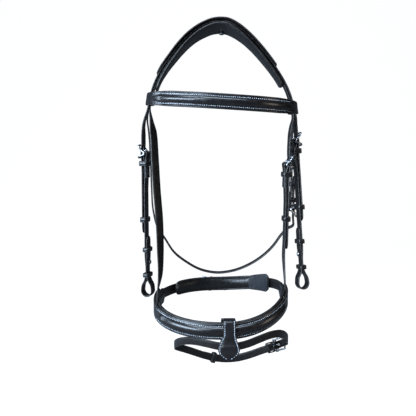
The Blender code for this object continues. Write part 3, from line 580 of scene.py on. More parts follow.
def stitches(name, rows, body, material=THREAD_DIM, length=2.15, radius=0.36, slant=7.0):
    """Separate thread stitches along each row of (points, normals), half sunk in the leather."""
    sink, sides, rings = 0.30, 6, len(STITCH_PROFILE)
    verts, faces = [], []
    for points, normals in rows:
        if len(points) < 2:
            continue
        for p, forward, n in zip(points, unit_rows(np.gradient(points, axis=0)), normals):
            n = n / np.linalg.norm(n)
            side = unit(np.cross(n, forward))
            a = math.radians(slant + RNG.uniform(-2.5, 2.5))
            axis = forward * math.cos(a) + side * math.sin(a)
            beside = np.cross(n, axis)
            first = len(verts)
            long = length * RNG.uniform(0.93, 1.06)
            for x, factor in STITCH_PROFILE:
                dip = -0.42 * (abs(x) / 0.5) ** 3
                r = radius * factor
                for j in range(sides):
                    a = 2 * math.pi * j / sides
                    verts.append(p + axis * (x * long) + beside * (r * math.cos(a))
                                 + n * (r * math.sin(a) + radius - sink + dip))
            faces += grid_faces(rings, sides, first=first) + end_faces(rings, sides, first)
    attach(mesh_object(name, verts, faces, material, None, 70.0), body)


# ----------------------------------------------------------- buckles and keepers


class Place:
    """A buckle's own directions: out of the strap, across it, and along it from the
    centre bar towards the strap the bar is sewn to."""

    def __init__(self, bar, along, across):
        self.bar = np.asarray(bar, float)
        self.along = unit(along)
        across = np.asarray(across, float)
        self.across = unit(across - across.dot(self.along) * self.along)
        self.out = np.cross(self.along, self.across)

    def __call__(self, out, along, across=0.0):
        return self.bar + self.out * out + self.along * along + self.across * across


def chape(place, start, rest):
    """Strap folded round the centre bar: up the inner layer from start, over the bar, down
    the outer layer and on through rest, all (out, along)."""
    path = [(CHAPE_IN, start), (CHAPE_IN, 9.0)]
    for k in range(9):
        a = math.radians(205 - 230 * k / 8)
        path.append((EYE_R * math.cos(a), -EYE_R * math.sin(a)))
    path.append((CHAPE_OUT, 9.0))
    return [place(*q) for q in path + rest]


def billet(place, above, tail=()):
    """Strap through a buckle: (out, along) above it, over the bar, then tail distances."""
    path = above + [(OVER_OUT, -3), (OVER_OUT, 2), (TAIL_OUT + 0.4, 9), (TAIL_OUT, 20)]
    return [place(*q) for q in path + [(TAIL_OUT, along) for along in tail]]


def chape_row(place, face, offset, start, end, pitch=3.0):
    """Stitch row along a chape: face 1 on its outer layer, -1 on its inner one."""
    run = np.arange(start, end, pitch)
    height = (CHAPE_OUT if face > 0 else CHAPE_IN) + face * (HALF_T - 0.05)
    return (np.array([place(height, along, offset) for along in run]),
            np.tile(face * place.out, (len(run), 1)))


def buckle(prefix, place, width, body):
    """Dished frame and centre bar as one piece of steel, and the tongue hinged on the bar."""
    half = width / 2 + 2.9
    side = [(TOP_OUT * 0.90, TOP_ALONG * 0.95), (TOP_OUT * 0.45, TOP_ALONG * 0.45), (0.0, 0.0),
            (LOW_OUT * 0.75, LOW_ALONG * 0.75)]
    frame = [place(TOP_OUT, TOP_ALONG, -half + 3), place(TOP_OUT, TOP_ALONG, half - 3)]
    frame += [place(out, along, half) for out, along in side]
    frame += [place(LOW_OUT, LOW_ALONG, half - 2.5), place(LOW_OUT, LOW_ALONG, -half + 2.5)]
    frame += [place(out, along, -half) for out, along in reversed(side)]
    parts = [tube(frame, WIRE_R, closed=True),
             tube([place(0, 0, q) for q in (-half + 0.4, 0, half - 0.4)], BAR_R)]
    for s in (-1, 1):                            # swaged eye where the bar meets the frame
        parts.append(tube([place(0, 0, s * (half - 2.3)), place(0, 0, s * (half - 0.2))],
                          BAR_R + 0.32))
    verts, faces = [], []
    for part_verts, part_faces in parts:
        faces += [tuple(v + len(verts) for v in f) for f in part_faces]
        verts += part_verts
    ob = mesh_object(f"{prefix}_buckle_steel", verts, faces, STEEL, None, 60.0)
    hook_up(ob, body, f"{prefix}_buckle_frame")

    curl = BAR_R + 0.45 + TONGUE_R
    path = []
    for k in range(8):
        a = math.radians(160 + 250 * k / 7 - 360)
        path.append((curl * math.cos(a), -curl * math.sin(a)))
    rest = TOP_OUT + WIRE_R + TONGUE_R + 0.55
    path += [(TOP_OUT * 0.72 + 2.5, TOP_ALONG * 0.60), (rest, TOP_ALONG + 0.6),
             (rest + 0.3, TOP_ALONG - 1.6)]
    verts, faces = tube([place(*q) for q in path], TONGUE_R, sides=12,
                        taper=lambda k: 1.0 - 0.22 * max(0.0, (k - 0.6) / 0.4))
    ob = mesh_object(f"{prefix}_tongue_steel", verts, faces, STEEL, None, 60.0)
    hook_up(ob, f"{prefix}_tongue", f"{prefix}_buckle_tongue")


def keeper(node, place, out, along, width, body):
    """Leather loop round the straps, edges rounded, two creased lines round it.
    out, along and width are its inside spans."""
    wall, r, around = 1.7, 0.55, 64
    middle, half = (out[0] + out[1]) / 2, (out[1] - out[0]) / 2
    a = np.linspace(0, 2 * math.pi, 1441)[:-1]
    loop = np.column_stack([np.sign(np.cos(a)) * np.abs(np.cos(a)) ** 0.20 * (width / 2),
                            np.sign(np.sin(a)) * np.abs(np.sin(a)) ** 0.20 * half])
    closed = np.vstack([loop, loop[:1]])
    run = run_of(closed)
    want = np.arange(around) / around * run[-1]
    loop = np.column_stack([np.interp(want, run, closed[:, k]) for k in range(2)])
    tangent = unit_rows(np.roll(loop, -1, axis=0) - np.roll(loop, 1, axis=0))
    normal = np.column_stack([tangent[:, 1], -tangent[:, 0]])
    # from the edge: distance in, height, edge wear
    side = [(r, 0.0, 0.2), (0, r, 0.8), (0, wall - r, 1.0), (r, wall, 0.8),
            (1.15, wall, 0.1), (1.5, wall - 0.2, 0.0), (1.85, wall, 0.05)]
    section = [(along[0] + d, h, e) for d, h, e in side]
    section.append(((along[0] + along[1]) / 2, wall + 0.12, 0.0))
    section += [(along[1] - d, h, e) for d, h, e in reversed(side)]
    verts, edge = [], []
    for k in range(around):
        for d, h, e in section:
            q = loop[k] + normal[k] * h
            verts.append(place(middle + q[1], d, q[0]))
            edge.append(e)
    faces = grid_faces(around, len(section), closed=True)
    ob = mesh_object(node + "_leather", verts, faces, KEEPER, edge, 50.0)
    hook_up(ob, body, node)


def seat(verts, place, local):
    """Move points to local(point) = (out, along, across) in a place."""
    for v in verts:
        v.co = Vector([float(c) * MM for c in place(*local(v.co))])


def cutter_object(bm):
    face_outward(bm)
    mesh = bpy.data.meshes.new("cutter")
    bm.to_mesh(mesh)
    bm.free()
    return link_object("cutter", mesh)


def slot(place, out, along):
    """Cutter for a slot 3 mm wide."""
    bm = bmesh.new()
    bmesh.ops.create_cube(bm, size=1.0)
    seat(bm.verts, place, lambda co: (out[0] + (out[1] - out[0]) * (co.x + 0.5),
                                      along[0] + (along[1] - along[0]) * (co.y + 0.5),
                                      -1.5 + 3.0 * (co.z + 0.5)))
    return cutter_object(bm)


def bar_slot(place, out=(-6, 6)):
    """Slot in the fold round the bar, which frees the tongue."""
    return slot(place, out, (-6, 5.5))


def tongue_slot(place, out=(2, 12)):
    """Slot where the tongue comes through the billet."""
    return slot(place, out, (-11.5, 1.5))


def holes(place, distances):
    """Cutter for round punches through a billet."""
    low, high, r = TAIL_OUT - 1.9, TAIL_OUT + 2.5, 1.35
    bm = bmesh.new()
    for along in distances:
        cone = bmesh.ops.create_cone(bm, cap_ends=True, segments=16, radius1=r, radius2=r,
                                     depth=1.0)
        seat(cone["verts"], place,
             lambda co: (low + (high - low) * (co.z + 0.5), along + co.x, co.y))
    return cutter_object(bm)


def cut(ob, *cutters):
    """Exact difference with closed cutter meshes, applied."""
    for cutter in cutters:
        modifier = ob.modifiers.new("cut", "BOOLEAN")
        modifier.operation = "DIFFERENCE"
        modifier.object = cutter
        modifier.solver = "EXACT"
    graph = bpy.context.evaluated_depsgraph_get()
    mesh = bpy.data.meshes.new_from_object(ob.evaluated_get(graph))
    ob.modifiers.clear()
    old = ob.data
    ob.data = mesh
    bpy.data.meshes.remove(old)
    for cutter in cutters:
        bpy.data.objects.remove(cutter, do_unlink=True)
    smooth(mesh, 48)


def inflate(ob, held, pressure, cap, last_frame=16):
    """Soft filling: cloth blown up from inside while the held points stay put, no point
    moving further than cap, with the result applied."""
    source = ob.data
    rest = np.array([v.co for v in source.vertices], float)
    double = link_object(ob.name + "_sim", source.copy())
    pin = double.vertex_groups.new(name="seam")
    for i in held:
        pin.add([int(i)], 1.0, "REPLACE")
    cloth = double.modifiers.new("cloth", "CLOTH")
    settings = cloth.settings
    settings.quality = 5
    settings.mass = 0.15
    settings.tension_stiffness = settings.compression_stiffness = 12.0
    settings.shear_stiffness = 6.0
    settings.bending_stiffness = 0.35
    settings.use_pressure = True
    settings.uniform_pressure_force = pressure
    settings.vertex_group_mass = "seam"
    settings.effector_weights.gravity = 0.0
    cloth.point_cache.frame_start = 1
    cloth.point_cache.frame_end = last_frame
    scene = bpy.context.scene
    for f in range(1, last_frame + 1):
        scene.frame_set(f)
    result = double.evaluated_get(bpy.context.evaluated_depsgraph_get())
    blown = np.array([v.co for v in result.data.vertices], float)
    scene.frame_set(1)
    # the rest shape stays if the simulation has failed
    if len(blown) == len(rest) and np.isfinite(blown).all():
        move = blown - rest
        far = np.linalg.norm(move, axis=1)
        k = np.where(far > cap * MM, cap * MM / np.maximum(far, 1e-12), 1.0)
        blown = (rest + move * k[:, None]).ravel().astype(np.float32)
        source.vertices.foreach_set("co", blown)
        source.update()
    bpy.data.objects.remove(double, do_unlink=True)


# -------------------------------------------------------------- shared centre lines


def arch(side, i):
    """Point, outward normal and width direction of the headpiece at index i."""
    mine, other = (ARCH_OFF, ARCH_NEAR) if side < 0 else (ARCH_NEAR, ARCH_OFF)
    x, z, lean = mine[i]
    after = mine[min(len(mine) - 1, i + 1)]
    before = mine[i - 1] if i else (-other[0][0], other[0][1])
    # always runs from the off side to the near side
    t = unit((side * (after[0] - before[0]), 0, after[1] - before[1])) * side
    a = math.radians(lean)
    w = unit((0, math.cos(a), -math.sin(a)))
    w = unit(w - w.dot(t) * t)
    return np.array((side * x, 0.0, z)), np.cross(t, w), w


def arch_line(last_off, last_near, height, y):
    """Strap centres and width directions over the poll, off side to near side."""
    points, across = [], []
    for side, i in ([(-1, i) for i in range(last_off, -1, -1)]
                    + [(1, i) for i in range(last_near + 1)]):
        p, n, w = arch(side, i)
        points.append(p + n * height + w * y)
        across.append(w)
    return points, across


def draw_in(points, across, keep_off, keep_near):
    """Shorten a line by moving each end point towards its neighbour."""
    for end, beside, keep in ((0, 1, keep_off), (-1, -2, keep_near)):
        points[end] = points[end] * keep + points[beside] * (1 - keep)
        across[end] = unit(across[end] * keep + across[beside] * (1 - keep))
    return points, across


def ring_z(x, y):
    lift = 3.0 if x < 0 else 21.0
    return -437.5 + 0.13 * y + lift * (min(abs(x), 106.0) / 106.0) ** 2


def ring(theta, outward=0.0):
    """Point on the noseband's outer line at theta degrees from the front, positive towards
    the near side, moved outward; with the outward normal."""
    s, c = math.sin(math.radians(theta)), math.cos(math.radians(theta))
    x = RING_X + RING_A * math.copysign(abs(s) ** RING_POWER, s)
    y = RING_Y - RING_B * math.copysign(abs(c) ** RING_POWER, c)
    n = unit((math.copysign(abs(s) ** (2 - RING_POWER), s) / RING_A,
              -math.copysign(abs(c) ** (2 - RING_POWER), c) / RING_B, 0))
    return np.array((x, y, ring_z(x, y))) + n * outward, n


def ring_rail(start, end):
    """Angles, and the rail of the noseband's outer line at them."""
    thetas = np.linspace(start, end, int(round(abs(end - start) / 1.6)) + 1)
    line, out = (np.array(rows) for rows in zip(*[ring(theta) for theta in thetas]))
    return thetas, Rail(line, np.tile(UP, (len(line), 1)), out)


def puff(half, base, rise, foot):
    """Half-round padded ridge: flat under, sides drop steeply to the stitch line."""
    points = []
    for k in range(13):
        u = -half + 2 * half * k / 12
        x = math.cos(math.pi * u / (2 * half))
        points.append((u, base + rise * max(0.0, x) ** 0.62, 0.0))
    return points + [(half * 0.6, foot, 0.0), (-half * 0.6, foot, 0.0)]


# --------------------------------------------------------------- headpiece


def crown_width(ends, middle):
    return lambda f: middle + (ends - middle) * abs(2 * f - 1) ** 2.2


def crown_section(width):
    """Padded strip: piped rim, sewn channel inside it, soft belly underneath."""
    half, top, low, rim = width / 2, PAD_T / 2 - 0.15, -PAD_T / 2, 1.75
    points = [(0.0, top, 0), (half * 0.5, top, 0), (half - 5.0, top - 0.1, 0),
              (half - 3.9, top - 0.55, 0)]
    for k in range(8):
        a = math.radians(125 - 250 * k / 7)
        points.append((half - rim + rim * math.cos(a), rim * math.sin(a) + 0.05,
                       0.35 if 1 < k < 6 else 0.1))
    points += [(half - 3.9, low + 0.95, 0), (half - 5.2, low + 0.45, 0),
               (half * 0.62, low + 0.12, 0), (half * 0.3, low + 0.02, 0), (0.0, low, 0)]
    return mirrored(points)


def make_crown():
    """Padding, the leather covering the straps on top of it, and their stitching."""
    pad = Strip(*draw_in(*arch_line(7, 7, PAD_T / 2, 0.0), 0.60, 0.26),
                crown_width(33.0, 50.0), tip0=5, tip1=5)
    ob = sweep("crown_padding_soft", pad, lambda i: crown_section(pad.width[i]), LINING)
    # the soft belly between the two seams is blown up; the rim and both ends are held
    around = len(crown_section(40.0))
    count = len(ob.data.vertices)
    belly, first, last = range(14, 19), 6, count // around - 6
    held = [i for i in range(count)
            if not (i % around in belly and first <= i // around < last)]
    inflate(ob, held, pressure=6.0, cap=0.6)
    hook_up(ob, "headpiece", "crown_padding")

    cover = Strip(*draw_in(*arch_line(6, 5, LAY_TOP, 0.0), 0.45, 0.82),
                  crown_width(34.0, 44.0), tip0=3, tip1=3)
    ob = strap("crown_cover_leather", cover, crease=4.4, groove=0.25)
    hook_up(ob, "headpiece", "crown_cover")
    rows = cover.edge_rows(2.6, HALF_T - 0.12, 4, cover.length - 4, 3.2)
    offsets = np.arange(-13.5, 13.6, 3.1)
    for run in (3.6, cover.length - 3.6):
        centre, across, out = (sample([run], cover.run, rows_)[0]
                               for rows_ in (cover.line, cover.across, cover.out))
        rows.append((centre + np.outer(offsets, across) + out * (HALF_T - 0.05),
                     np.tile(out, (len(offsets), 1))))
    stitches("crown_cover_stitching", rows, "headpiece")
    rows = pad.edge_rows(4.1, -PAD_T / 2 + 0.85, 6, pad.length - 6, 3.3, face=-1)
    stitches("crown_padding_stitching", rows, "headpiece")


def make_crown_stud():
    """Dished stud on the underside at the rear edge."""
    lean = math.radians(10)
    back = unit((0, math.cos(lean), -math.sin(lean)))
    profile = [(4.1, 0.15), (4.25, -0.45), (4.2, -1.10), (3.8, -1.80), (3.1, -2.35),
               (2.3, -2.60), (1.6, -2.30), (0.9, -2.10), (0.0, -2.05)]
    ob = lathe("crown_stud_steel", np.array((1.5, 0, -1.0)) + back * 16.6,
               np.cross(RIGHT, back), RIGHT, back, profile)
    hook_up(ob, "headpiece", "crown_stud")


# ------------------------------------------------------------ billets and cheekpieces


def cheek_place(side, bar, lean, fore, twist):
    """Place of a cheek buckle from the middle of its bar and its tilts in degrees."""
    lean, fore, twist = (math.radians(a) for a in (lean, fore, twist))
    return Place(bar, (side * math.sin(lean), -math.sin(fore), -math.cos(lean)),
                 (-math.sin(twist), side * math.cos(twist), 0.0))


def make_cheek_billet(tag, side, place):
    """Half of the headpiece strap, running out into a billet."""
    if side < 0:
        points, across = arch_line(8, 0, LAY_HEAD, Y_CHEEK)
        points = points[::-1][1:]
        # turned to keep the outer face outwards when running towards the off side
        across = [-w for w in across[::-1][1:]]
        above = [(4.3, -CHEEK_FLEX - 22), (4.9, -CHEEK_FLEX - 7)]
    else:
        points, across = (rows[1:] for rows in arch_line(0, 9, LAY_HEAD, Y_CHEEK))
        above = [(4.9, -CHEEK_FLEX - 5)]
    middle = np.array(arch_line(0, 0, LAY_HEAD, Y_CHEEK)[0]).mean(0)
    below = billet(place, above + [(5.05, -CHEEK_FLEX), (5.1, -14)], (55, 90, 116, 127))
    below_across = [place.across] * len(below)
    if side < 0:
        below_across[0] = unit(0.6 * place.across + 0.4 * across[-1])
    strip = Strip([middle + (side * 0.3, 0, 0)] + points + below,
                  [across[0]] + across + below_across, CHEEK_W, tip1=12)
    ob = strap(f"headpiece_billet_{tag}_leather", strip)
    cut(ob, tongue_slot(place), holes(place, [29.0, 49.0, 69.0, 89.0, 111.5]))
    tuple(place(5, -29) * MM)
    tuple(place(5, -15) * MM)
    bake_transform(ob)
    nodes = [f"cheek_billet_{tag}"] + (["headpiece_strap"] if side < 0 else [])
    hook_up(ob, None, *nodes)


def make_cheekpiece(tag, place, extra):
    """Cheekpiece folded round the buckle bar above and looped for the bit below."""
    body = f"cheek_{tag}"
    inner, outer = CHAPE_IN, CHAPE_OUT
    rest = [(outer, 60), (outer, 128), (outer + 0.2, 160 + extra), (outer + 0.4, 199.5 + extra),
            (3.9, 205.5 + extra), (6.7, 210.5 + extra)]
    for k in range(10):
        a = math.radians(15 - 210 * k / 9)
        rest.append((8.6 * math.cos(a) - 0.2, 220 + extra - 8.6 * math.sin(a) * 1.12))
    rest += [(-7.3, 210.5 + extra), (-4.5, 205.5 + extra), (inner - 0.4, 199.5 + extra)]
    rest += [(inner - 0.2, 160 + extra)] + [(inner, q + extra) for q in (142, 136, 131.5)]
    strip = Strip(chape(place, 38.0, rest), place.across, CHEEK_W, tip1=9, step=1.6)
    ob = strap(f"cheekpiece_{tag}_leather", strip)
    cut(ob, bar_slot(place))
    hook_up(ob, body, f"cheekpiece_{tag}")
    buckle(body, place, CHEEK_W, body)
    for kind, out, along, rider in (
            ("cheek_fixed", FIXED_OUT, (11.5, 19.5), body),
            ("cheek_sliding", SLIDING_OUT, (101, 109), f"{body}_keeper"),
            ("bit_upper", (-3.7, 3.5), (150 + extra, 157 + extra), body),
            ("bit_lower", (-3.9, 3.8), (191.5 + extra, 198 + extra), body)):
        keeper(f"{kind}_keeper_{tag}", place, out, along, CHEEK_W + 2.0, rider)
    rows = []
    for q in (-5.6, 5.6):
        rows += [chape_row(place, 1, q, 21.5, 37.0), chape_row(place, 1, q, 5.8, 11.0, 2.9),
                 chape_row(place, -1, q, 21.5, 37.0)]
    stitches(f"cheekpiece_{tag}_stitching", rows, body)
    # hook stud on the inner layer
    profile = [(1.5, -0.5), (1.5, 0.9), (2.1, 1.15), (3.0, 1.45), (3.4, 1.95), (3.25, 2.5),
               (2.6, 2.95), (1.6, 3.2), (0.8, 3.28), (0.0, 3.3)]
    ob = lathe(f"hook_stud_{tag}_steel", place(inner - HALF_T + 0.05, 174 + extra),
               -place.out, place.along, place.across, [(r, h * 0.93) for r, h in profile])
    hook_up(ob, body, f"hook_stud_{tag}")


# ------------------------------------------------------------------- browband


def brow_z(x, y):
    return BROW_Z - BROW_ROLL * x + 0.02 * min(0, y)


def arch_x(z, side):
    """Distance of the headpiece's underside from the middle at height z."""
    table = ARCH_OFF if side < 0 else ARCH_NEAR
    return float(np.interp(-z, [-q[1] for q in table], [q[0] for q in table]))


def brow_end(side):
    """X and Y of the loop behind the straps, from its inner end."""
    gap = arch_x(brow_z(side * 110, 0), side)
    inner, outer = gap + 2.1, gap + 12.4
    return [(side * x, y) for x, y in (
        (inner + 0.2, -12.5), (inner, -4), (inner, 15.2), (inner + 1.6, 20.0),
        ((inner + outer) / 2, 21.8), (outer - 1.6, 20.0), (outer, 15.2), (outer, -4),
        (outer + 0.1, -15))]


def brow_arc():
    """X and Y of the arc across the forehead, off side to near side."""
    points = []
    for k in range(13):
        a = math.radians(180 + 14 + (180 - 28) * k / 12)
        c, s = math.cos(a), math.sin(a)
        points.append((115.0 * math.copysign(abs(c) ** 0.86, c), -15 - 93 * abs(s) ** 0.9))
    return points


def brow_across(x, y):
    """Width direction: the loops follow the slope of the straps."""
    k = min(1.0, max(0.0, (y + 40) / 35.0))
    side, z = (-1 if x < 0 else 1), brow_z(x, y)
    lean = (arch_x(z - 8, side) - arch_x(z + 8, side)) / 16
    return unit((-side * lean * k, 0, 1.0))


def brow_width(f):
    k = min(1.0, max(0.0, (abs(2 * f - 1) - 0.34) / 0.30))
    return BROW_W_MID + (BROW_W_END - BROW_W_MID) * k


def make_browband():
    plan = brow_end(-1) + brow_arc() + brow_end(1)[::-1]
    line = [np.array((x, y, brow_z(x, y))) for x, y in plan]
    across = [brow_across(x, y) for x, y in plan]
    band = Strip(line, across, brow_width, step=2.2)
    ob = strap("browband_leather", band, POLISHED, crease=1.5, crown=0.05)
    hook_up(ob, "browband", "browband")

    ends = len(brow_end(1)) + 1
    ridge = Strip(line[ends:-ends], across[ends:-ends], 12.0, step=2.2)

    def section(i):
        f = min(max(ridge.run[i] / ridge.length, 0.0), 1.0)
        k = min(1.0, math.sin(math.pi * f) * 3.2) ** 0.7
        return puff(5.9 * (0.72 + 0.28 * k), HALF_T - 0.05, 0.25 + 3.35 * k, HALF_T - 0.35)

    ob = sweep("browband_raised_padding", ridge, section, RAISED)
    hook_up(ob, "browband", "browband_raised")
    rows = []
    for q in (-7.0, 7.0):
        points, normals = ridge.row(q, HALF_T - 0.02, -6, ridge.length + 6, 3.05)
        rows.append((points[3:-3], normals[3:-3]))
    stitches("browband_stitching", rows, "browband", THREAD)
    rows = [band.row(q, HALF_T, start, end, 3.0)
            for start, end in ((6, 30), (band.length - 30, band.length - 6))
            for q in (-5.2, 5.2)]
    stitches("browband_loop_stitching", rows, "browband")


# --------------------------------------------------------- noseband headstrap

HANGER = Place((100.5, -18.0, -211.0), (-0.012, 0, -1),
               (-math.sin(HANGER_TWIST), math.cos(HANGER_TWIST), 0))


def make_headstrap():
    """Strap from the noseband's off side over the poll to a billet on the near side."""
    base, out = ring(SEAT_OFF, NOSE_SEAT)
    facing = -math.degrees(math.atan2(-out[1], -out[0]))
    rise = [(base + (0, 0, -10.0), facing), (base + (0, 0, 18.0), facing),   # point, heading
            ((-97.6, -24, -385.0), 22), ((-97.2, -20.5, -346.0), 38),
            ((-98.5, -18, -298.0), 44), ((-102.0, -16, -251.0), 44),
            ((-104.5, -14.5, -204.0), 44), ((-107.0, -11, -160.0), 38),
            ((-110.0, -6.2, -141.0), 13)]
    over, over_across = arch_line(8, 8, LAY_HANGER, Y_HANGER)
    fall = [(113.9, -4.7, -137.5), (110.4, -7.6, -150.0)]
    fall += billet(HANGER, [(5.4, -42), (5.0, -28), (5.2, -14)], (60, 100, 124, 134.5))
    across = [(math.sin(math.radians(a)), math.cos(math.radians(a)), 0) for _, a in rise]
    across += over_across
    across += [unit(k * over_across[-1] + (1 - k) * HANGER.across) for k in (0.85, 0.6)]
    across += [HANGER.across] * (len(fall) - 2)
    strip = Strip([p for p, _ in rise] + over + fall, across, HANGER_W, tip1=12)
    ob = strap("noseband_headstrap_leather", strip)
    cut(ob, tongue_slot(HANGER), holes(HANGER, [30.0, 50.0, 70.0, 97.0, 115.0]))
    hook_up(ob, None, "noseband_headstrap")
    # its lower end is sewn to the noseband
    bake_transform(ob)


def make_hanger():
    """Short strap with the buckle, sewn to the noseband's near side."""
    base, out = ring(SEAT_NEAR, NOSE_SEAT)
    upper = chape(HANGER, 36.0, [(CHAPE_OUT, 60), (CHAPE_OUT, 118), (1.0, 150)])
    points = upper + [(100.3, -19.5, -374.0), base + (0, 0, 17.0), base + (0, 0, -10.0)]
    across = [HANGER.across] * len(upper) + [unit(HANGER.across + (0.05, 0, 0))]
    across += [(-out[1], out[0], 0)] * 2
    ob = strap("noseband_hanger_leather", Strip(points, across, HANGER_W, step=1.8), POLISHED)
    cut(ob, bar_slot(HANGER))
    hook_up(ob, None, "noseband_hanger_near")
    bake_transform(ob)
    buckle("hanger", HANGER, HANGER_W, "headpiece")
    keeper("hanger_fixed_keeper", HANGER, FIXED_OUT, (11.5, 19.5), HANGER_W + 2.0, "headpiece")
    keeper("hanger_sliding_keeper", HANGER, SLIDING_OUT, (82, 90), HANGER_W + 2.0,
           "hanger_keeper")
    rows = [chape_row(HANGER, face, q, 21.5, 35.0) for q in (-5.6, 5.6) for face in (1, -1)]
    stitches("noseband_hanger_stitching", rows, "headpiece")


# ------------------------------------------------------------------ noseband


def end_round(run, total):
    """Width factor that rounds the noseband's last 5 mm at each end."""
    x = min(run, total - run) / 5
    return 1.0 if x >= 1 else 0.55 + 0.45 * math.sqrt(max(0.0, 1 - (1 - x) ** 2))


def lining_section(theta, round_):
    """Padding with a rolled rim along both edges, a sewn channel, and a soft inner face."""
    # 0 where a strap is sewn in, 1 where the rim can roll fully
    gap = min(1.0, *[max(0.0, (abs(theta - at) - 5.5) / 4) for at in (SEAT_OFF, SEAT_NEAR)])
    if not -97 < theta < 90:
        gap *= max(0.0, 1 - max((-97 - theta) / 5, (theta - 90) / 3))
    low, face, rim = NOSE_LINE_AT - NOSE_LINE_T, NOSE_LINE_AT - 0.05, 2.35
    u, v = NOSE_W / 2 * round_ - rim, -7.9 + 0.55 * gap
    points = [(0.0, face, 0.0), (u * 0.55, face, 0.0), (u - 1.4, face, 0.0)]
    for k in range(9):
        a = math.radians(128 - 236 * k / 8)
        fuller = 1 + 0.15 * gap * (1 if math.sin(a) > 0 else 0)
        points.append((u + rim * math.cos(a), v + rim * fuller * math.sin(a),
                       0.25 if 1 < k < 6 else 0.05))
    points += [(u - 1.6, low + 1.7, 0.0), (u - 3.0, low + 0.75, 0.0),
               (u * 0.45, low + 0.12, 0.0), (0.0, low, 0.0)]
    return mirrored(points)


def make_noseband():
    """Outer leather, padding, and the raised ridge across the front."""
    thetas, band = ring_rail(NOSE_FROM, NOSE_TO)
    rounds = [end_round(run, band.length) for run in band.run]
    ob = sweep("noseband_outer_leather", band,
               lambda i: strap_section((NOSE_W - 2) * rounds[i], -NOSE_OUT_T - 0.3, 0.0,
                                       crease=1.5, groove=0.25, crown=0.1), POLISHED)
    hook_up(ob, "noseband", "noseband_leather")
    ob = sweep("noseband_padding_soft", band,
               lambda i: lining_section(thetas[i], rounds[i]), LINING)
    hook_up(ob, "noseband", "noseband_padding")
    height = NOSE_LINE_AT - NOSE_LINE_T + 1.55
    rows = [band.row(q, height, 4, band.length - 4, 3.2, face=-1) for q in (-8.6, 8.6)]
    stitches("noseband_padding_stitching", rows, "noseband")

    _, ridge = ring_rail(-62, 62)

    def ridge_section(i):
        f = min(1.0, min(ridge.run[i], ridge.length - ridge.run[i]) / 14.0)
        k = math.sqrt(1 - (1 - f) ** 2)
        return puff(7.4 * (0.55 + 0.45 * k), -0.05, 0.3 + 3.75 * k, -0.5)

    ob = sweep("noseband_raised_padding", ridge, ridge_section, RAISED)
    hook_up(ob, "noseband", "noseband_raised")

    def part_row(offset, height, low, high):
        """Stitch row on the outer face between two angles."""
        span = (2, band.length - 2, 3.05)
        points, normals = band.row(offset, height, *span)
        theta = np.interp(np.arange(*span), band.run, thetas)
        keep = (theta > low) & (theta < high)
        return points[keep], normals[keep]

    rows = [part_row(q, -0.08, -70, 70) for q in (-8.3, 8.3)]
    stitches("noseband_stitching", rows, "noseband", THREAD)
    rows = [part_row(q, -0.1, low, high)
            for q in (-9.6, 9.6) for low, high in ((-180, -72), (72, 180))]
    stitches("noseband_end_stitching", rows, "noseband")


def make_flash_loop():
    """Pear-shaped tab folded over the noseband."""
    tab_x = 5.0
    top = ring_z(tab_x, NOSE_FRONT) + NOSE_W / 2
    front = NOSE_FRONT - 6.2
    back = NOSE_FRONT - NOSE_LINE_AT + NOSE_LINE_T + 2.6
    # Y, Z above the noseband's top edge, width; up behind, over, and down in front
    table = [(-118.0, -51.4, 6), (-115.6, -50.2, 15), (-105.5, -46.0, 26), (-99.4, -37.0, 25),
             (back, -27.0, 21), (back, -12.0, 21), (back, 0.4, 21), (back - 1.4, 3.0, 21),
             (back - 5.5, 4.2, 21), (front + 6.5, 4.2, 21), (front + 1.5, 3.0, 21),
             (front, 0.0, 21), (front, -8.0, 21), (front, -16.0, 21.5),
             (front - 0.3, -23.0, 23.5), (front - 2.2, -29.0, 28.0), (front - 4.2, -33.0, 31.0),
             (front - 4.6, -38.0, 32.0), (front - 4.2, -43.0, 28.0), (front - 3.2, -48.0, 18.0),
             (front - 2.6, -51.0, 9.0), (front - 2.4, -53.0, 3.0)]
    points = [(tab_x, y, top + z) for y, z, _ in table]
    run, widths = run_of(points), [q[2] for q in table]
    tab = Strip(points, RIGHT, lambda f: float(np.interp(f * run[-1], run, widths)), step=1.5)
    # the upper part narrows and shifts towards the near side
    upper = np.clip((tab.line[:, 2] - top + 26.0) / 8.0, 0, 1) * (tab.line[:, 1] < -104)
    tab.width *= 1.0 - 0.12 * upper
    tab.line[:, 0] += 1.1 * upper

    def section(i):
        width = max(2.2, tab.width[i])
        points = strap_section(width, -FLASH_HALF_T, FLASH_HALF_T,
                               crease=3.1, groove=0.12, crown=0.08)
        y, z = tab.line[i][1], tab.line[i][2] - top
        if y < -113 and z < -28:                  # pressed down between the strap's edges
            edges = math.exp(-((z + 33.5) / 1.8) ** 2) + math.exp(-((z + 44.5) / 1.8) ** 2)
            lift = 0.55 * edges - 0.5 * math.exp(-((z + 39) / 3.2) ** 2)
            points = [(u, v + lift * max(0.0, 1 - (2 * u / width) ** 4) if v > 0 else v, e)
                      for u, v, e in points]
        return points

    ob = sweep("flash_loop_leather", tab, section, POLISHED)
    hook_up(ob, "noseband", "flash_loop")
    nearest = np.argmin(np.abs(tab.line[:, 2] - (top + 3.0)) + np.abs(tab.line[:, 1] + 116.5))
    rows = tab.edge_rows(2.3, 1.06, float(tab.run[nearest]), tab.length - 3.2, 2.7)
    stitches("flash_loop_stitching", rows, "noseband", THREAD,
             length=1.95, radius=0.46, slant=4.0)


# ------------------------------------------------------------- chin strap and pad

CHIN = Place((-14.0, 97.4, -428.9), (1, 0.0, 0.012), (0, 0, -1))

